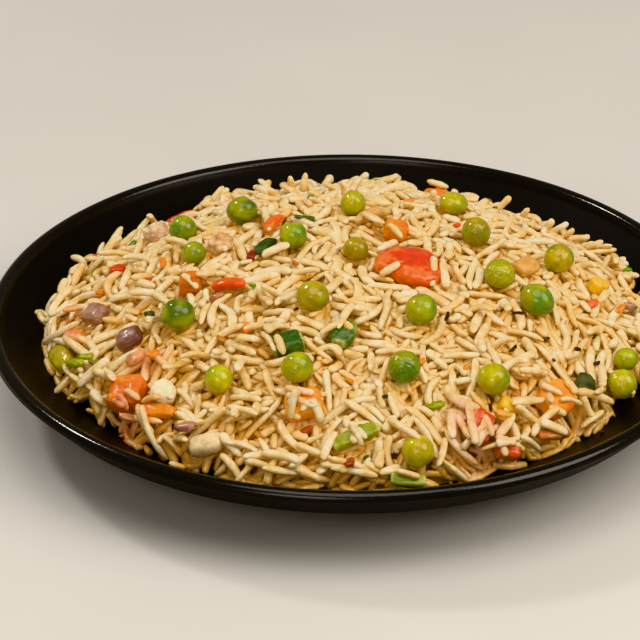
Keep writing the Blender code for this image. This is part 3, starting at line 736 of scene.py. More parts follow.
def grain_mesh(name, field, grains, chance, rings, sides):
    """One joined mesh of some grains, with a colour on each point."""
    x, y, turn, half, bow, hook, size = np.array([grain[:7] for grain in grains]).T[..., None]
    shares = np.sin(math.pi / 2 * np.linspace(-1, 1, rings + 2))
    line = np.array([np.interp(shares, SHARES, grain.axis) for grain in grains])
    flat = spread(x, y, np.cos(turn), np.sin(turn), shares * half, bow_offset(shares, bow, hook))
    middle = np.stack((*flat, line), axis=2)
    ahead = np.gradient(middle, axis=1)
    ahead /= np.linalg.norm(ahead, axis=2, keepdims=True)
    across = np.cross(np.array((0.0, 0.0, 1.0)), ahead)
    across /= np.linalg.norm(across, axis=2, keepdims=True)
    upward = np.cross(ahead, across)
    count = len(grains)
    roll = chance.normal(0, ROLL_SPREAD, (count, 1, 1))
    cos, sin = np.cos(roll), np.sin(roll)
    across, upward = cos * across + sin * upward, cos * upward - sin * across
    angles = circle(sides)
    power = chance.uniform(*END_POWERS, (count, 1))
    taper = chance.normal(0.0, TAPER_SPREAD, (count, 1))
    inner = shares[1:-1]
    profile = np.sqrt(np.maximum(1 - np.abs(inner) ** power, 0.0)) * (1 - taper * inner)
    profile = (profile * size * (1 + LUMP_SPREAD * chance.normal(0, 1, (count, rings))))[:, :, None]
    facets = 1 + FACET_DEPTH * np.cos(3 * angles + chance.uniform(0, 6.28, (count, 1, 1)))
    groove = np.exp(-((angles - math.pi / 2) / GROOVE_HALF) ** 2)
    groove = 1 - GROOVE_DEPTH * groove * chance.random((count, 1, 1))
    flat = chance.uniform(*FLATNESS, (count, 1, 1))
    wide = GRAIN_WIDTH / 2 * profile * np.cos(angles) * facets / flat
    thick = GRAIN_THICKNESS / 2 * profile * np.sin(angles) * facets * groove * flat
    inside = slice(None), slice(1, -1), None
    body = middle[inside] + wide[..., None] * across[inside] + thick[..., None] * upward[inside]
    points = np.concatenate((middle[:, :1], body.reshape(count, rings * sides, 3), middle[:, -1:]), axis=1)
    quads, fans, points_each = ring_faces(rings, sides)
    starts = points_each * np.arange(count)[:, None, None]
    faces = (quads[:, (0, 3, 2, 1)] + starts).reshape(-1, 4).tolist()
    faces += (fans[:, (0, 2, 1)] + starts).reshape(-1, 3).tolist()
    mesh = new_mesh(name, points.reshape(-1, 3), faces)
    # Painted shade: 1 on each grain's underside and 0 on its top; it turns the underside golden
    lower = np.concatenate(([0.5], np.tile(0.5 - 0.5 * np.sin(angles), rings), [0.5]))
    # Painted glow of light through the grains: rises towards each grain's ends, which turn paler
    ends = np.clip((np.abs(np.concatenate(([1.0], np.repeat(inner, sides), [1.0]))) - 0.6) / 0.4, 0, 1)
    tones = np.array([grain.tone for grain in grains])
    paint(mesh, grain_colours(field, points, tones, lower, ends, chance))
    return mesh


def grain_colours(field, points, tones, lower, ends, chance):
    """Ivory on top; painted shade in gold on the undersides and in amber between the grains; a painted glow
    at the ends; with the stains near tomato.
    """
    count = len(points)
    i, j = field.cell(points[..., 0], points[..., 1])
    # Painted shade: grains that lie deeper under the smooth surface over them turn golden, then amber
    depth = np.clip((field.cover[i, j] - points[..., 2] + SHADE_START) / SHADE_DEPTH, 0, 1)
    gold = tones[:, None] + GOLD_SHADE_DEEP * depth + GOLD_SHADE_BELOW * lower - GOLD_LESS - GLOW_AT_ENDS * ends
    zone = np.array([noise.noise(Vector(point) / ZONE_LENGTH) for point in points[:, points.shape[1] // 2]])
    rgb = blended(IVORY, GOLDEN, np.clip(gold + GOLD_ZONES * zone[:, None], -GOLD_LESS, 1))
    rgb = blended(rgb, SHADE_AMBER, SHADE_AMBER_MOST * np.clip((depth - SHADE_AMBER_FROM) / (1 - SHADE_AMBER_FROM), 0, 1))
    rgb *= (1 + chance.normal(0, LIGHT_SPREAD, (count, 1)))[..., None]
    for place, reach, colour, strength in field.stains:
        away = np.hypot(points[..., 0] - place.x, points[..., 1] - place.y)
        near = strength * np.clip(1.6 * (1 - away / reach), 0, 1)
        rgb = blended(rgb, np.array(colour), near)
    return np.concatenate((rgb, np.ones((*rgb.shape[:2], 1))), axis=2).reshape(-1, 4)


def paint(mesh, colours):
    """Stores a colour for each point."""
    tint = mesh.color_attributes.new("tint", "FLOAT_COLOR", "POINT")
    tint.data.foreach_set("color", np.asarray(colours, dtype=np.float32).ravel())


def add_piece(name, mesh, material, slot, *nodes):
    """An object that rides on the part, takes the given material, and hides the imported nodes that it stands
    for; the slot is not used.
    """
    piece = new_object(name, mesh)
    mesh.materials.clear()
    mesh.materials.append(material)
    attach(piece, "root")
    if nodes:
        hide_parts(*nodes)


class Shader:
    """A material whose nodes are added by short calls."""

    def __init__(self, name):
        self.material = bpy.data.materials.new(name)
        self.material.use_nodes = True
        self.nodes = self.material.node_tree.nodes
        self.links = self.material.node_tree.links
        self.bsdf = self.nodes["Principled BSDF"]

    def feed(self, socket, value):
        """Gives an input a constant, or a link from another node's output."""
        if hasattr(value, "is_output"):
            self.links.new(value, socket)
        else:
            socket.default_value = value

    def fill(self, node, values):
        for name, value in values.items():
            self.feed(node.inputs[name.replace("_", " ")], value)
        return node

    def set(self, **values):
        self.fill(self.bsdf, values)

    def node(self, kind, **inputs):
        return self.fill(self.nodes.new(kind), inputs)

    def place(self):
        """Where a point lies in the piece's own frame."""
        return self.nodes.new("ShaderNodeTexCoord").outputs["Object"]

    def noise(self, scale, detail):
        return self.node("ShaderNodeTexNoise", Vector=self.place(), Scale=scale, Detail=detail).outputs["Fac"]

    def ramp(self, value, *stops):
        made = self.node("ShaderNodeValToRGB", Fac=value)
        ramp = made.color_ramp
        while len(ramp.elements) < len(stops):
            ramp.elements.new(0.5)
        for element, (position, colour) in zip(ramp.elements, stops):
            element.position = position
            element.color = (*colour, 1)
        return made.outputs["Color"]

    def level(self, value, low, high, start=0.3, end=0.7):
        span = {"From_Min": start, "From_Max": end, "To_Min": low, "To_Max": high}
        return self.node("ShaderNodeMapRange", Value=value, **span).outputs["Result"]

    def times(self, first, second):
        made = self.nodes.new("ShaderNodeMix")
        made.data_type = "RGBA"
        made.blend_type = "MULTIPLY"
        for number, value in ((0, 1.0), (6, first), (7, second)):
            self.feed(made.inputs[number], value)
        return made.outputs[2]

    def tint(self):
        made = self.nodes.new("ShaderNodeAttribute")
        made.attribute_name = "tint"
        return made.outputs["Color"]

    def bump(self, height, distance):
        return self.node("ShaderNodeBump", Height=height, Distance=distance).outputs["Normal"]


def rice_material():
    shader = Shader("rice")
    broad = shader.ramp(shader.noise(300, 2), (0.40, (0.93, 0.79, 0.52)), (0.60, (1.03, 1.04, 1.05)))
    fine = shader.ramp(shader.noise(1100, 3), (0.3, (0.90, 0.87, 0.80)), (0.7, (1.05, 1.05, 1.05)))
    shader.set(
        Base_Color=shader.times(shader.times(shader.tint(), broad), fine),
        Roughness=shader.level(shader.noise(700, 2), 0.20, 0.36),
        Normal=shader.bump(shader.noise(1300, 3), 0.00014),
        Coat_Weight=0.30,
        Coat_Roughness=0.16,
        Subsurface_Weight=0.30,
        Subsurface_Radius=(1.0, 0.88, 0.70),
        Subsurface_Scale=0.0009,
        Specular_IOR_Level=0.5,
    )
    return shader.material


def shaded_core_material():
    shader = Shader("rice_core")
    # Painted shade: the mass under the grains is dark amber-brown, for the shade deep between them
    colour = shader.ramp(shader.noise(260, 4), (0.3, (0.50, 0.20, 0.02)), (0.7, (0.78, 0.45, 0.12)))
    shader.set(
        Base_Color=colour,
        Roughness=shader.level(shader.noise(500, 2), 0.35, 0.55),
        Normal=shader.bump(shader.noise(420, 3), 0.0006),
    )
    return shader.material


def plate_material():
    """Matt black glaze, glossier on the rounded lip."""
    shader = Shader("plate")
    height = shader.node("ShaderNodeSeparateXYZ", Vector=shader.place()).outputs["Z"]
    lip = shader.level(height, 0.0, 1.0, LIP_GLOSS_FROM, LIP_GLOSS_TO)
    darker, lighter = (0.42, (0.0042, 0.0044, 0.0050)), (0.70, (0.0076, 0.0077, 0.0082))
    shader.set(
        Base_Color=shader.ramp(shader.noise(2600, 2), darker, lighter),
        Roughness=shader.level(lip, shader.level(shader.noise(60, 4), 0.46, 0.54), 0.16, 0.0, 1.0),
        Normal=shader.bump(shader.noise(900, 2), 0.00003),
        Specular_IOR_Level=shader.level(lip, 0.14, 0.45, 0.0, 1.0),
    )
    return shader.material


# Steps of the turned plate
PLATE_SIDES = 176
LIP_GLOSS_FROM = 0.0215
LIP_GLOSS_TO = 0.0232
PLATE_STEPS = 26
LIP_START = 0.0012
LIP_STEPS = 8
UNDER_FROM = 0.091
UNDER_STEPS = 12
SHARP_ANGLE = math.radians(40)


def underside(radius):
    """The point one wall's thickness below the inner surface, square to it."""
    step = 0.0005
    slope = (bowl_height(radius + step) - bowl_height(radius - step)) / (2 * step)
    scale = WALL / math.hypot(slope, 1.0)
    return radius + slope * scale, bowl_height(radius) - scale


def build_plate():
    profile = [(0.0, FLOOR_TOP), (FLOOR_RADIUS / 2, FLOOR_TOP)]
    reach = PLATE_RADIUS - WALL
    profile += [(r, float(bowl_height(r))) for r in np.linspace(FLOOR_RADIUS, reach - LIP_START, PLATE_STEPS)]
    centre_x, centre_z = PLATE_RADIUS - WALL / 2, PLATE_HEIGHT - WALL / 2
    for step in range(LIP_STEPS + 1):
        angle = math.pi * (1 - step / LIP_STEPS)
        profile.append((centre_x + WALL / 2 * math.cos(angle), centre_z + WALL / 2 * math.sin(angle)))
    profile += [underside(r) for r in np.linspace(UNDER_FROM, FOOT_RADIUS, UNDER_STEPS)]
    foot, inner = profile[-1][0], FOOT_RADIUS - FOOT_WIDTH
    profile += [(foot, FOOT_CHAMFER), (foot - FOOT_CHAMFER, 0), (inner + FOOT_CHAMFER, 0)]
    profile += [(inner, FOOT_CHAMFER), (inner, FLOOR_TOP - WALL), (0, FLOOR_TOP - WALL)]
    angles = circle(PLATE_SIDES)
    rings = [np.stack((r * np.cos(angles), r * np.sin(angles), np.full(PLATE_SIDES, z)), axis=1)
             for r, z in profile[1:-1]]
    mesh = ring_mesh("plate_turned", (0, 0, profile[0][1]), rings, (0, 0, profile[-1][1]))
    mesh.set_sharp_from_angle(angle=SHARP_ANGLE)
    add_piece("plate_turned", mesh, plate_material(), "plate", "plate")


# The mass under the grains, coloured dark amber-brown as painted shade between them
CORE_RINGS = 46
CORE_SIDES = 200
CORE_BUMPS = 420.0
CORE_BUMP = 0.0007
CORE_GAP = 0.0002
CORE_UNDERSIDE = (1.0, 0.8, 0.5)


def build_core(field):
    """The mass under the grains: bumpy above, on the plate's curve below."""
    angles = circle(CORE_SIDES)
    reach = heap_radius(angles) - CORE_INSET
    rings = []
    for share in np.linspace(1 / CORE_RINGS, 1, CORE_RINGS):
        x, y = share * reach * np.cos(angles), share * reach * np.sin(angles)
        rough = np.array([noise.noise(Vector((u, v, 0)) * CORE_BUMPS) for u, v in zip(x, y)]) * (share < 1)
        rings.append(np.stack((x, y, field.core[field.cell(x, y)] + CORE_BUMP * rough), axis=1))
    for share in CORE_UNDERSIDE:
        x, y = share * reach * np.cos(angles), share * reach * np.sin(angles)
        rings.append(np.stack((x, y, bowl_height(share * reach) + CORE_GAP), axis=1))
    top = (0, 0, field.core[field.count // 2, field.count // 2])
    mesh = ring_mesh("rice_core", top, rings, (0, 0, FLOOR_TOP + CORE_GAP))
    add_piece("rice_core", mesh, shaded_core_material(), "rice", "rice")


# Colours of the pieces in linear light: a main one and one for patches, which on cauliflower is also the
# painted shade between the knobs
DARK_GREEN = (0.045, 0.115, 0.003)
GREEN = (0.125, 0.250, 0.004)
LIME = (0.310, 0.355, 0.005)
YELLOW_GREEN = (0.480, 0.430, 0.006)
OLIVE = (0.400, 0.280, 0.005)
LOOKS = {
    "pea": (LIME, GREEN),
    "pea_02": (LIME, DARK_GREEN),
    "pea_09": (LIME, YELLOW_GREEN),
    "pea_04": (YELLOW_GREEN, LIME),
    "pea_05": (OLIVE, YELLOW_GREEN),
    "pea_06": (YELLOW_GREEN, LIME),
    "pea_07": (OLIVE, LIME),
    "pea_08": (OLIVE, GREEN),
    "pea_10": (GREEN, OLIVE),
    "pea_11": (OLIVE, YELLOW_GREEN),
    "pea_13": (LIME, DARK_GREEN),
    "pea_15": (LIME, YELLOW_GREEN),
    "pea_16": (YELLOW_GREEN, LIME),
    "pea_17": (GREEN, LIME),
    "pea_18": (YELLOW_GREEN, LIME),
    "pea_19": (YELLOW_GREEN, OLIVE),
    "pea_21": (YELLOW_GREEN, LIME),
    "carrot": ((0.88, 0.29, 0.012), (0.84, 0.19, 0.008)),
    "carrot_01": ((0.90, 0.36, 0.020), (0.86, 0.20, 0.010)),
    "carrot_02": ((0.74, 0.17, 0.008), (0.84, 0.28, 0.016)),
    "carrot_03": ((0.74, 0.19, 0.010), (0.45, 0.10, 0.012)),
    "carrot_05": ((0.86, 0.36, 0.04), (0.84, 0.24, 0.015)),
    "corn": ((0.90, 0.56, 0.045), (0.88, 0.66, 0.18)),
    "cauliflower": ((0.84, 0.70, 0.46), (0.72, 0.52, 0.28)),
    "cauliflower_01": ((0.80, 0.60, 0.42), (0.62, 0.40, 0.24)),
    "cauliflower_02": ((0.82, 0.60, 0.33), (0.56, 0.28, 0.11)),
    "cauliflower_03": ((0.92, 0.84, 0.58), (0.86, 0.72, 0.42)),
    "onion": ((0.46, 0.29, 0.20), (0.30, 0.13, 0.10)),
    "onion_02": ((0.20, 0.085, 0.075), (0.38, 0.22, 0.17)),
    "onion_03": ((0.84, 0.68, 0.42), (0.80, 0.62, 0.36)),
    "onion_04": ((0.74, 0.45, 0.15), (0.60, 0.31, 0.08)),
    "onion_05": ((0.74, 0.50, 0.20), (0.60, 0.36, 0.12)),
    "tomato": ((0.68, 0.050, 0.008), (0.84, 0.20, 0.03)),
    "tomato_02": ((0.66, 0.075, 0.02), (0.84, 0.34, 0.20)),
    "tomato_03": ((0.76, 0.10, 0.012), (0.82, 0.30, 0.04)),
    "tomato_04": ((0.78, 0.23, 0.04), (0.86, 0.48, 0.26)),
    "bean": ((0.030, 0.095, 0.006), (0.085, 0.17, 0.010)),
    "bean_02": ((0.30, 0.33, 0.010), (0.20, 0.27, 0.010)),
    "bean_03": ((0.30, 0.33, 0.010), (0.22, 0.29, 0.010)),
    "bean_04": ((0.05, 0.13, 0.008), (0.26, 0.34, 0.09)),
    "pepper": ((0.72, 0.085, 0.008), (0.80, 0.20, 0.02)),
    "pepper_03": ((0.52, 0.16, 0.03), (0.66, 0.30, 0.08)),
    "pepper_04": ((0.82, 0.28, 0.018), (0.70, 0.14, 0.01)),
    "pepper_05": ((0.36, 0.35, 0.010), (0.48, 0.38, 0.02)),
    "leaf": ((0.025, 0.060, 0.008), (0.060, 0.095, 0.016)),
    "leaf_01": ((0.075, 0.090, 0.022), (0.020, 0.032, 0.006)),
}
PALE_GREEN = (0.56, 0.62, 0.20)
# Height of the swellings, how close together they are, and height of the fibres
RELIEF = {
    "carrot": (0.00080, 170, 0.00014),
    "corn": (0.00020, 200, 0.00004),
    "cauliflower": (0.00030, 260, 0.0),
    "onion": (0.00042, 150, 0.00006),
    "tomato": (0.00070, 150, 0.00008),
    "bean": (0.00028, 200, 0.00014),
    "pepper": (0.00045, 150, 0.00006),
    "leaf": (0.00015, 300, 0.00010),
}
# Share of light scattered inside, range of roughness, coat, and height of the fine relief
FINISHES = {
    "pea": (0.30, (0.16, 0.26), 0.50, 0.00004),
    "carrot": (0.30, (0.34, 0.50), 0.12, 0.00016),
    "corn": (0.40, (0.20, 0.30), 0.30, 0.00005),
    "cauliflower": (0.55, (0.38, 0.55), 0.0, 0.00016),
    "onion": (0.70, (0.22, 0.38), 0.20, 0.00008),
    "tomato": (0.30, (0.14, 0.26), 0.50, 0.00008),
    "bean": (0.25, (0.20, 0.34), 0.30, 0.00009),
    "pepper": (0.35, (0.15, 0.28), 0.35, 0.00007),
    "leaf": (0.10, (0.40, 0.58), 0.0, 0.00014),
}
# Rounding of the cut pieces, and the knobs of cauliflower
FORM_POINT = 0.00034
SMOOTHING = {
    "tomato": 20, "pepper": 12, "onion": 28, "onion_03": 50, "onion_04": 45,
    "carrot": 13, "leaf": 3, "corn": 14,
}
OTHER_SMOOTHING = 5
KNOB_SIZE = 0.0021
KNOB_RISE = 0.00070
KNOB_SINK = 0.0003
CUT_RISE = 0.00012
FINE_RISE = 0.00006
FINE_SCALE = 700
SMOOTH_LUMP = "cauliflower_03"


def look(node):
    return LOOKS.get(node, LOOKS[node.split("_")[0]])


def food_material(name, soft, roughness, coat, relief):
    """Food in its own tint, mottled, with fine relief and some depth."""
    shader = Shader(name)
    mottle = shader.ramp(shader.noise(520, 4), (0.3, (0.78, 0.74, 0.70)), (0.7, (1.12, 1.12, 1.12)))
    shader.set(
        Base_Color=shader.times(shader.tint(), mottle),
        Roughness=shader.level(shader.noise(700, 2), *roughness),
        Normal=shader.bump(shader.noise(1000, 4), relief),
        Subsurface_Weight=soft,
        Subsurface_Radius=(1.0, 0.7, 0.3),
        Subsurface_Scale=0.0020,
        Coat_Weight=coat,
        Coat_Roughness=0.05,
        Specular_IOR_Level=0.35,
    )
    return shader.material


def own_axes(node):
    """Middle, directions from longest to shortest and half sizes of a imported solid."""
    points = node_points(node)
    away = points - points.mean(0)
    _, axes = np.linalg.eigh(away.T @ away / len(away))
    axes = axes[:, ::-1]
    reach = away @ axes
    centre = points.mean(0) + axes @ ((reach.max(0) + reach.min(0)) / 2)
    return centre, axes, (reach.max(0) - reach.min(0)) / 2


def eased(value, low, high):
    return min(max((value - low) / (high - low), 0.0), 1.0)


def mixed(first, second, share):
    return tuple(a + share * (b - a) for a, b in zip(first, second))


# Form of the peas
PEA_WRINKLES = {"pea_07": 0.7, "pea_09": 0.8, "pea_11": 0.4, "pea_17": 1.0, "pea_03": 0.5, "pea_21": 0.5}
PEA_DETAIL = 5
PEA_SWELL = 0.03
CREASE_WIDTH = 0.16
CREASE_DEPTH = 0.055
DENT_WIDTH = 0.10


@functools.cache
def ball_form(subdivisions):
    """Points and faces of an evenly divided ball."""
    ball = bmesh.new()
    bmesh.ops.create_icosphere(ball, subdivisions=subdivisions, radius=1.0)
    ball.verts.index_update()
    points = [vertex.co.copy() for vertex in ball.verts]
    faces = [[vertex.index for vertex in face.verts] for face in ball.faces]
    ball.free()
    return points, faces


def build_pea(node, material, chance):
    centre, axes, radii = own_axes(node)
    ball, faces = ball_form(PEA_DETAIL)
    seed = Vector(chance.uniform(-50, 50, 3))
    wrinkle = PEA_WRINKLES.get(node, chance.choice((0.0, 0.15, 0.35)))
    dent = Vector(chance.normal(0, 1, 3)).normalized()
    deep = chance.choice((0.0, 0.05, 0.10))
    squarish = chance.uniform(0.0, 0.05)
    main, patch = look(node)
    tone = 1 + chance.normal(0, 0.08)
    points, colours = [], []
    for out in (point.normalized() for point in ball):
        broad = noise.noise(1.1 * out + seed)
        crease = max(CREASE_WIDTH - abs(noise.noise(2.6 * out + 2 * seed)), 0.0) / CREASE_WIDTH
        hollow = math.exp(-((1 - out.dot(dent)) / DENT_WIDTH) ** 2)
        square = squarish * (abs(out.x) ** 3 + abs(out.y) ** 3 + abs(out.z) ** 3 - 0.6)
        rise = 1 + PEA_SWELL * broad - CREASE_DEPTH * wrinkle * crease - deep * hollow + square
        rgb = mixed(main, patch, 0.8 * eased(broad + 0.5 * hollow * (deep > 0), -0.05, 0.35))
        # Painted light and shade: yellow-green on the right and top, dark green on the left and bottom
        facing_light = out.x + 0.4 * out.z
        rgb = mixed(rgb, YELLOW_GREEN, 0.40 * eased(facing_light, 0.1, 0.9))
        rgb = mixed(rgb, DARK_GREEN, 0.45 * eased(-facing_light, 0.0, 1.0))
        # Painted shade: dark green in the creases
        rgb = mixed(rgb, DARK_GREEN, 0.35 * wrinkle * crease)
        colours.append((*(tone * value for value in rgb), 1))
        points.append(centre + axes @ (radii * np.array(out) * rise))
    mesh = new_mesh(node + "_skin", points, faces)
    paint(mesh, colours)
    add_piece(node + "_skin", mesh, material, "pea", node)


def fine_form(node):
    """A closed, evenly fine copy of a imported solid, with its edges rounded."""
    form = bmesh.new()
    form.from_mesh(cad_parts[node].data)
    bmesh.ops.remove_doubles(form, verts=form.verts, dist=1e-6)
    mesh = bpy.data.meshes.new(node + "_cut")
    form.to_mesh(mesh)
    form.free()
    shell = new_object("shell", mesh)
    remesh = shell.modifiers.new("remesh", "REMESH")
    remesh.mode = "VOXEL"
    remesh.voxel_size = FORM_POINT
    bpy.context.view_layer.update()
    fine = bpy.data.meshes.new_from_object(shell.evaluated_get(bpy.context.evaluated_depsgraph_get()))
    bpy.data.objects.remove(shell)
    form = bmesh.new()
    form.from_mesh(fine)
    every = {"use_axis_x": True, "use_axis_y": True, "use_axis_z": True}
    for _ in range(SMOOTHING.get(node, SMOOTHING.get(node.split("_")[0], OTHER_SMOOTHING))):
        bmesh.ops.smooth_vert(form, verts=form.verts, factor=0.5, **every)
    form.normal_update()
    return form, fine


def knob(point, seed):
    """Rise of a rounded knob, and how deep between knobs the point lies."""
    distances, _ = noise.voronoi(point / KNOB_SIZE + seed)
    return 1 - 1.6 * distances[0] ** 1.5, eased(distances[1] - distances[0], 0.28, 0.0)


def build_cut(node, material, chance):
    """An uneven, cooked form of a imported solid, painted by its kind."""
    kind = node.split("_")[0]
    form, mesh = fine_form(node)
    centre, axes, half = own_axes(node)
    seed = Vector(chance.uniform(-50, 50, 3))
    swell, swell_scale, fibre = RELIEF[kind]
    main, patch = look(node)
    colours = []
    for vertex in form.verts:
        along, across, through = axes.T @ (np.array(vertex.co) - centre) / half
        broad = noise.noise(vertex.co * swell_scale + seed)
        small = noise.noise(vertex.co * FINE_SCALE + seed)
        lines = noise.noise(Vector((0.9 * along, 7 * across, 5 * through)) + seed)
        rise = CUT_RISE + swell * broad + fibre * lines + FINE_RISE * small
        rgb = mixed(main, patch, eased(broad + 0.5 * lines + 0.3 * small, 0.0, 0.45))
        if kind == "cauliflower" and node != SMOOTH_LUMP:
            high, gap = knob(vertex.co, seed)
            rise += KNOB_RISE * high - KNOB_SINK
            # Painted shade: the patch colour between the knobs
            rgb = mixed(rgb, patch, 0.6 * gap)
        if kind == "bean":
            cut_end = eased(abs(along), 0.80, 0.90)
            rgb = mixed(rgb, PALE_GREEN, cut_end * (0.75 + 0.25 * math.sin(14 * across)))
        if node in ("onion_01", "onion_02"):
            rgb = mixed(rgb, patch, 0.45 * eased(math.sin(9 * through + 3 * broad), 0.2, 0.9))
        if kind == "tomato":
            rgb = mixed(rgb, patch, 0.7 * eased(abs(across), 0.72, 0.98))
        vertex.co += vertex.normal * rise
        colours.append((*rgb, 1))
    form.to_mesh(mesh)
    form.free()
    mesh.name = node + "_cut"
    mesh.shade_smooth()
    paint(mesh, colours)
    add_piece(node + "_cut", mesh, material, kind, node)


def buried(field, grain):
    """Whether nothing of a grain shows from above."""
    x, y, turn, half, bow, hook, size, axis, _ = grain
    side = bow_offset(SHARES, bow, hook)
    cell = field.cell(*spread(x, y, math.cos(turn), math.sin(turn), SHARES * half, side))
    top = axis + GRAIN_THICKNESS / 2 * size * grain_profile(SHARES)
    return (field.height[cell] - top > BURIED_DEPTH)[1:-1].all()


def build_rice():
    chance = np.random.default_rng(SEED)
    field = Field()
    build_core(field)
    for node in TOPPINGS:
        field.add_topping(node)
        if node.startswith("pea"):
            field.bank(node)
    field.find_slopes()
    lay_grains(field, chance)
    lay_details(field, chance)
    field.settle()
    hidden = np.array([buried(field, grain) for grain in field.grains])
    material = rice_material()
    kinds = (("rice", ~hidden, SHOWN_EACH, SHOWN_DETAIL), ("rice_under", hidden, HIDDEN_EACH, HIDDEN_DETAIL))
    for kind, chosen, most, detail in kinds:
        picks = np.flatnonzero(chosen)
        for number, part in enumerate(np.array_split(picks, math.ceil(len(picks) / most)), 1):
            name = f"{kind}_{number:02d}"
            mesh = grain_mesh(name, field, [field.grains[k] for k in part], chance, *detail)
            add_piece(name, mesh, material, "rice")
    return field


def build_toppings():
    chance = np.random.default_rng(SEED + 1)
    materials = {kind: food_material(kind, *finish) for kind, finish in FINISHES.items()}
    for node in TOPPINGS:
        kind = node.split("_")[0]
        build = build_pea if kind == "pea" else build_cut
        build(node, materials[kind], chance)


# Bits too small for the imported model: pixel, length and width in millimetres, direction in degrees, colour
ORANGE = (0.86, 0.26, 0.012)
RED = (0.66, 0.06, 0.008)
RED_BROWN = (0.36, 0.07, 0.015)
MAUVE = (0.42, 0.22, 0.17)
BIT_OLIVE = (0.22, 0.22, 0.012)
BLACK_BROWN = (0.030, 0.013, 0.006)
BITS = (
    (248, 323, 4.6, 2.8, 100, ORANGE), (592, 300, 4, 2.6, 20, (0.80, 0.14, 0.01)),
    (350, 376, 2.4, 1.6, 0, ORANGE), (421, 357, 2.6, 1.6, 30, ORANGE), (466, 366, 2.2, 1.4, 80, ORANGE),
    (545, 366, 2.2, 1.5, 10, ORANGE), (620, 312, 3, 2, 40, ORANGE), (310, 193, 2.4, 1.6, 0, ORANGE),
    (409, 198, 2.6, 1.6, 15, ORANGE), (163, 259, 4.8, 1.8, 100, ORANGE), (100, 287, 2.6, 1.8, 20, ORANGE),
    (118, 265, 4.6, 3, 20, RED), (149, 272, 2.2, 1.6, 60, RED), (457, 223, 2.2, 1.5, 10, RED),
    (252, 250, 3.4, 2.4, 60, (0.30, 0.03, 0.008)), (306, 423, 3.4, 2.2, 20, RED_BROWN),
    (350, 474, 3.4, 2.2, 60, RED_BROWN), (132, 240, 2.4, 1.8, 20, GREEN), (311, 190, 2, 1.5, 0, GREEN),
    (305, 212, 6.2, 1.7, 22, DARK_GREEN), (436, 398, 4.6, 2.6, 10, LIME), (95, 370, 3.2, 2.2, 50, BIT_OLIVE),
    (76, 371, 6, 3.2, 140, LIME), (88, 360, 5, 2, 30, LIME), (150, 328, 3, 2.2, 20, (0.05, 0.07, 0.01)),
    (366, 449, 1.4, 1, 0, DARK_GREEN), (627, 276, 2.6, 1.6, 0, GREEN), (574, 284, 2.2, 1.6, 30, BIT_OLIVE),
    (253, 284, 2, 1.4, 30, GREEN), (186, 437, 5.6, 3.6, 150, MAUVE),
    (630, 304, 5, 2.6, 30, (0.45, 0.28, 0.18)), (136, 359, 5, 4, 30, (0.72, 0.33, 0.16)),
    (153, 361, 3.8, 2.6, 20, ORANGE), (504, 421, 5.4, 3.4, 20, (0.78, 0.42, 0.10)),
    (217, 295, 4, 2.4, 20, (0.42, 0.17, 0.08)), (275, 247, 2.4, 1.8, 0, MAUVE),
    (128, 421, 4.6, 2.8, 10, (0.62, 0.30, 0.16)), (222, 335, 2.8, 2, 0, (0.50, 0.20, 0.03)),
    (516, 387, 2.6, 1.8, 30, (0.55, 0.22, 0.03)), (318, 383, 2.6, 1.6, 70, (0.45, 0.17, 0.03)),
    (296, 263, 2.4, 1.6, 10, (0.50, 0.20, 0.03)), (447, 314, 4.2, 0.9, 70, BLACK_BROWN),
    (518, 313, 3.4, 1, 160, BLACK_BROWN), (546, 333, 2.6, 0.9, 30, BLACK_BROWN),
    (514, 344, 3, 1, 50, BLACK_BROWN), (578, 348, 1.8, 1.3, 0, BLACK_BROWN),
    (554, 357, 2.4, 0.9, 100, BLACK_BROWN), (597, 362, 1.8, 1.2, 0, BLACK_BROWN),
    (385, 395, 2, 1.4, 120, BLACK_BROWN), (603, 419, 2.2, 1, 20, BLACK_BROWN),
)
HIDDEN_BITS = 60
BIT_THICKNESS = 0.7
BIT_LIFT = 0.0008
BIT_DETAIL = 3
BIT_ROUGHNESS = 0.30
BIT_POWER = 0.75
BIT_BEND = 0.12
BIT_TILT = 0.3
SEED_RAISE = 0.35
CRUMB_RAISE = 0.05


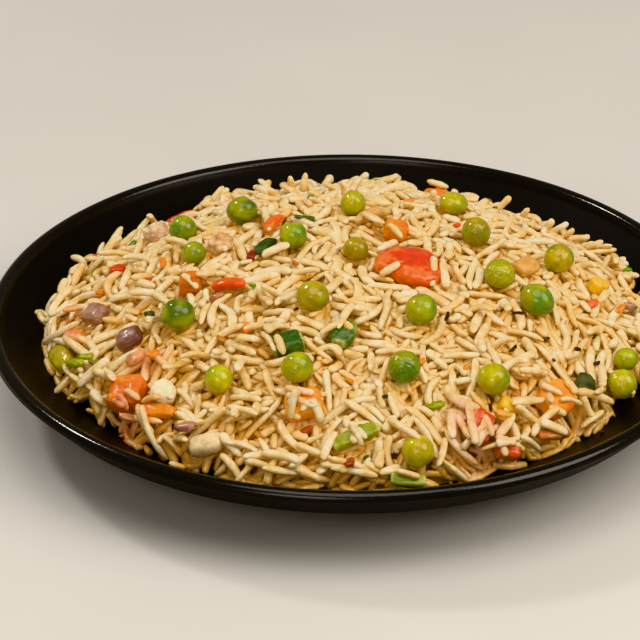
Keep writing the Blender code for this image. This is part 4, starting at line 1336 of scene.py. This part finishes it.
def build_bits(field):
    """Crumbs of vegetable and spice among the grains."""
    chance = np.random.default_rng(SEED + 2)
    chosen = [(on_surface((x, y), BIT_LIFT), length, width, math.radians(turn), colour)
              for x, y, length, width, turn, colour in BITS]
    kinds = (ORANGE, ORANGE, RED, LIME, BIT_OLIVE, MAUVE, BLACK_BROWN, BLACK_BROWN)
    for _ in range(HIDDEN_BITS):
        angle, radius = chance.uniform(0, 2 * math.pi), HEAP_RADIUS * 0.94 * math.sqrt(chance.random())
        place = Vector((radius * math.cos(angle), radius * math.sin(angle), 0))
        length, colour = chance.uniform(1.3, 3.2), kinds[chance.integers(len(kinds))]
        width = length * (0.3 if colour == BLACK_BROWN else chance.uniform(0.5, 0.8))
        if place.y > 0.045 or abs(place.x) > 0.070:
            chosen.append((place, length, width, chance.uniform(0, math.pi), colour))
    outs, faces = (np.array(part) for part in ball_form(BIT_DETAIL))
    points, all_faces, colours = [], [], []
    for number, (place, length, width, turn, colour) in enumerate(chosen):
        seed = Vector(chance.uniform(-50, 50, 3))
        rough = np.array([1 + BIT_ROUGHNESS * noise.noise(Vector(out) * 1.7 + seed) for out in outs])
        size = np.array((length, width, width * BIT_THICKNESS)) / 2000
        local = np.sign(outs) * np.abs(outs) ** BIT_POWER * rough[:, None] * size
        bend = BIT_BEND * local[:, 0] ** 2 / size[0]
        tilt = chance.normal(0, BIT_TILT)
        x = local[:, 0] * math.cos(turn) - (local[:, 1] + bend) * math.sin(turn)
        y = local[:, 0] * math.sin(turn) + (local[:, 1] + bend) * math.cos(turn)
        i, j = field.cell(place.x + x, place.y + y)
        base = np.percentile(field.height[i, j], 75)
        raised = SEED_RAISE if colour == BLACK_BROWN else CRUMB_RAISE
        z = base + size[2] * raised + local[:, 2] + tilt * local[:, 0]
        points.append(np.stack((place.x + x, place.y + y, z), axis=1))
        all_faces.append(faces + number * len(outs))
        shade = np.array([1 + 0.3 * noise.noise(Vector(out) * 2 + seed) for out in outs])
        colours.append(np.concatenate((shade[:, None] * np.array(colour), np.ones((len(outs), 1))), axis=1))
    mesh = new_mesh("crumbs", np.concatenate(points), np.concatenate(all_faces).tolist())
    paint(mesh, np.concatenate(colours))
    add_piece("crumbs", mesh, food_material("crumbs", *FINISHES["pepper"]), "pepper")


def build_floor():
    mesh = new_mesh("floor", [(-3, -3, 0), (3, -3, 0), (3, 3, 0), (-3, 3, 0)], [(0, 1, 2, 3)])
    floor = new_object("floor", mesh)
    shader = Shader("floor")
    shader.set(
        Base_Color=shader.ramp(shader.noise(4, 3), (0.3, (0.60, 0.59, 0.57)), (0.7, (0.66, 0.65, 0.63))),
        Roughness=shader.level(shader.noise(30, 2), 0.6, 0.7),
    )
    mesh.materials.append(shader.material)


# Each light's place, width, power and colour; all are aimed at the middle of the plate
LIGHTS = {
    "key": ((0.60, -0.28, 0.62), 0.65, 4.45, (1.0, 0.92, 0.80)),
    "back": ((-0.60, 0.35, 0.75), 0.14, 2.45, (1.0, 0.95, 0.88)),
    "above": ((0.0, -0.25, 1.0), 0.80, 4.3, (1.0, 0.94, 0.86)),
    "front": ((-0.25, -0.95, 0.55), 0.50, 2.2, (1.0, 0.93, 0.84)),
}


def build_studio():
    for name, (place, size, power, colour) in LIGHTS.items():
        data = bpy.data.lights.new(name, "AREA")
        data.shape = "DISK"
        data.size = size
        data.energy = power
        data.color = colour
        lamp = new_object(name, data)
        lamp.location = place
        lamp.rotation_euler = (-Vector(place)).to_track_quat("-Z", "Y").to_euler()
    world = bpy.data.worlds.new("studio")
    bpy.context.scene.world = world
    world.use_nodes = True
    sky = world.node_tree.nodes["Background"]
    sky.inputs["Color"].default_value = (1.0, 0.90, 0.78, 1)
    sky.inputs["Strength"].default_value = 0.35
    bpy.context.scene.view_settings.view_transform = "Khronos PBR Neutral"


def build_camera():
    ahead, _ = view_axes()
    data = bpy.data.cameras.new("camera")
    data.sensor_width = SENSOR
    data.lens = FOCAL_PIXELS * SENSOR / FRAME_PIXELS
    data.clip_start = 0.01
    camera = new_object("camera", data)
    camera.location = AIM - DISTANCE * ahead
    camera.rotation_euler = (math.pi / 2 - ELEVATION, 0, 0)
    bpy.context.scene.camera = camera


def main():
    build_plate()
    build_toppings()
    field = build_rice()
    build_bits(field)
    build_floor()
    build_studio()
    build_camera()
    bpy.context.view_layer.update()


main()
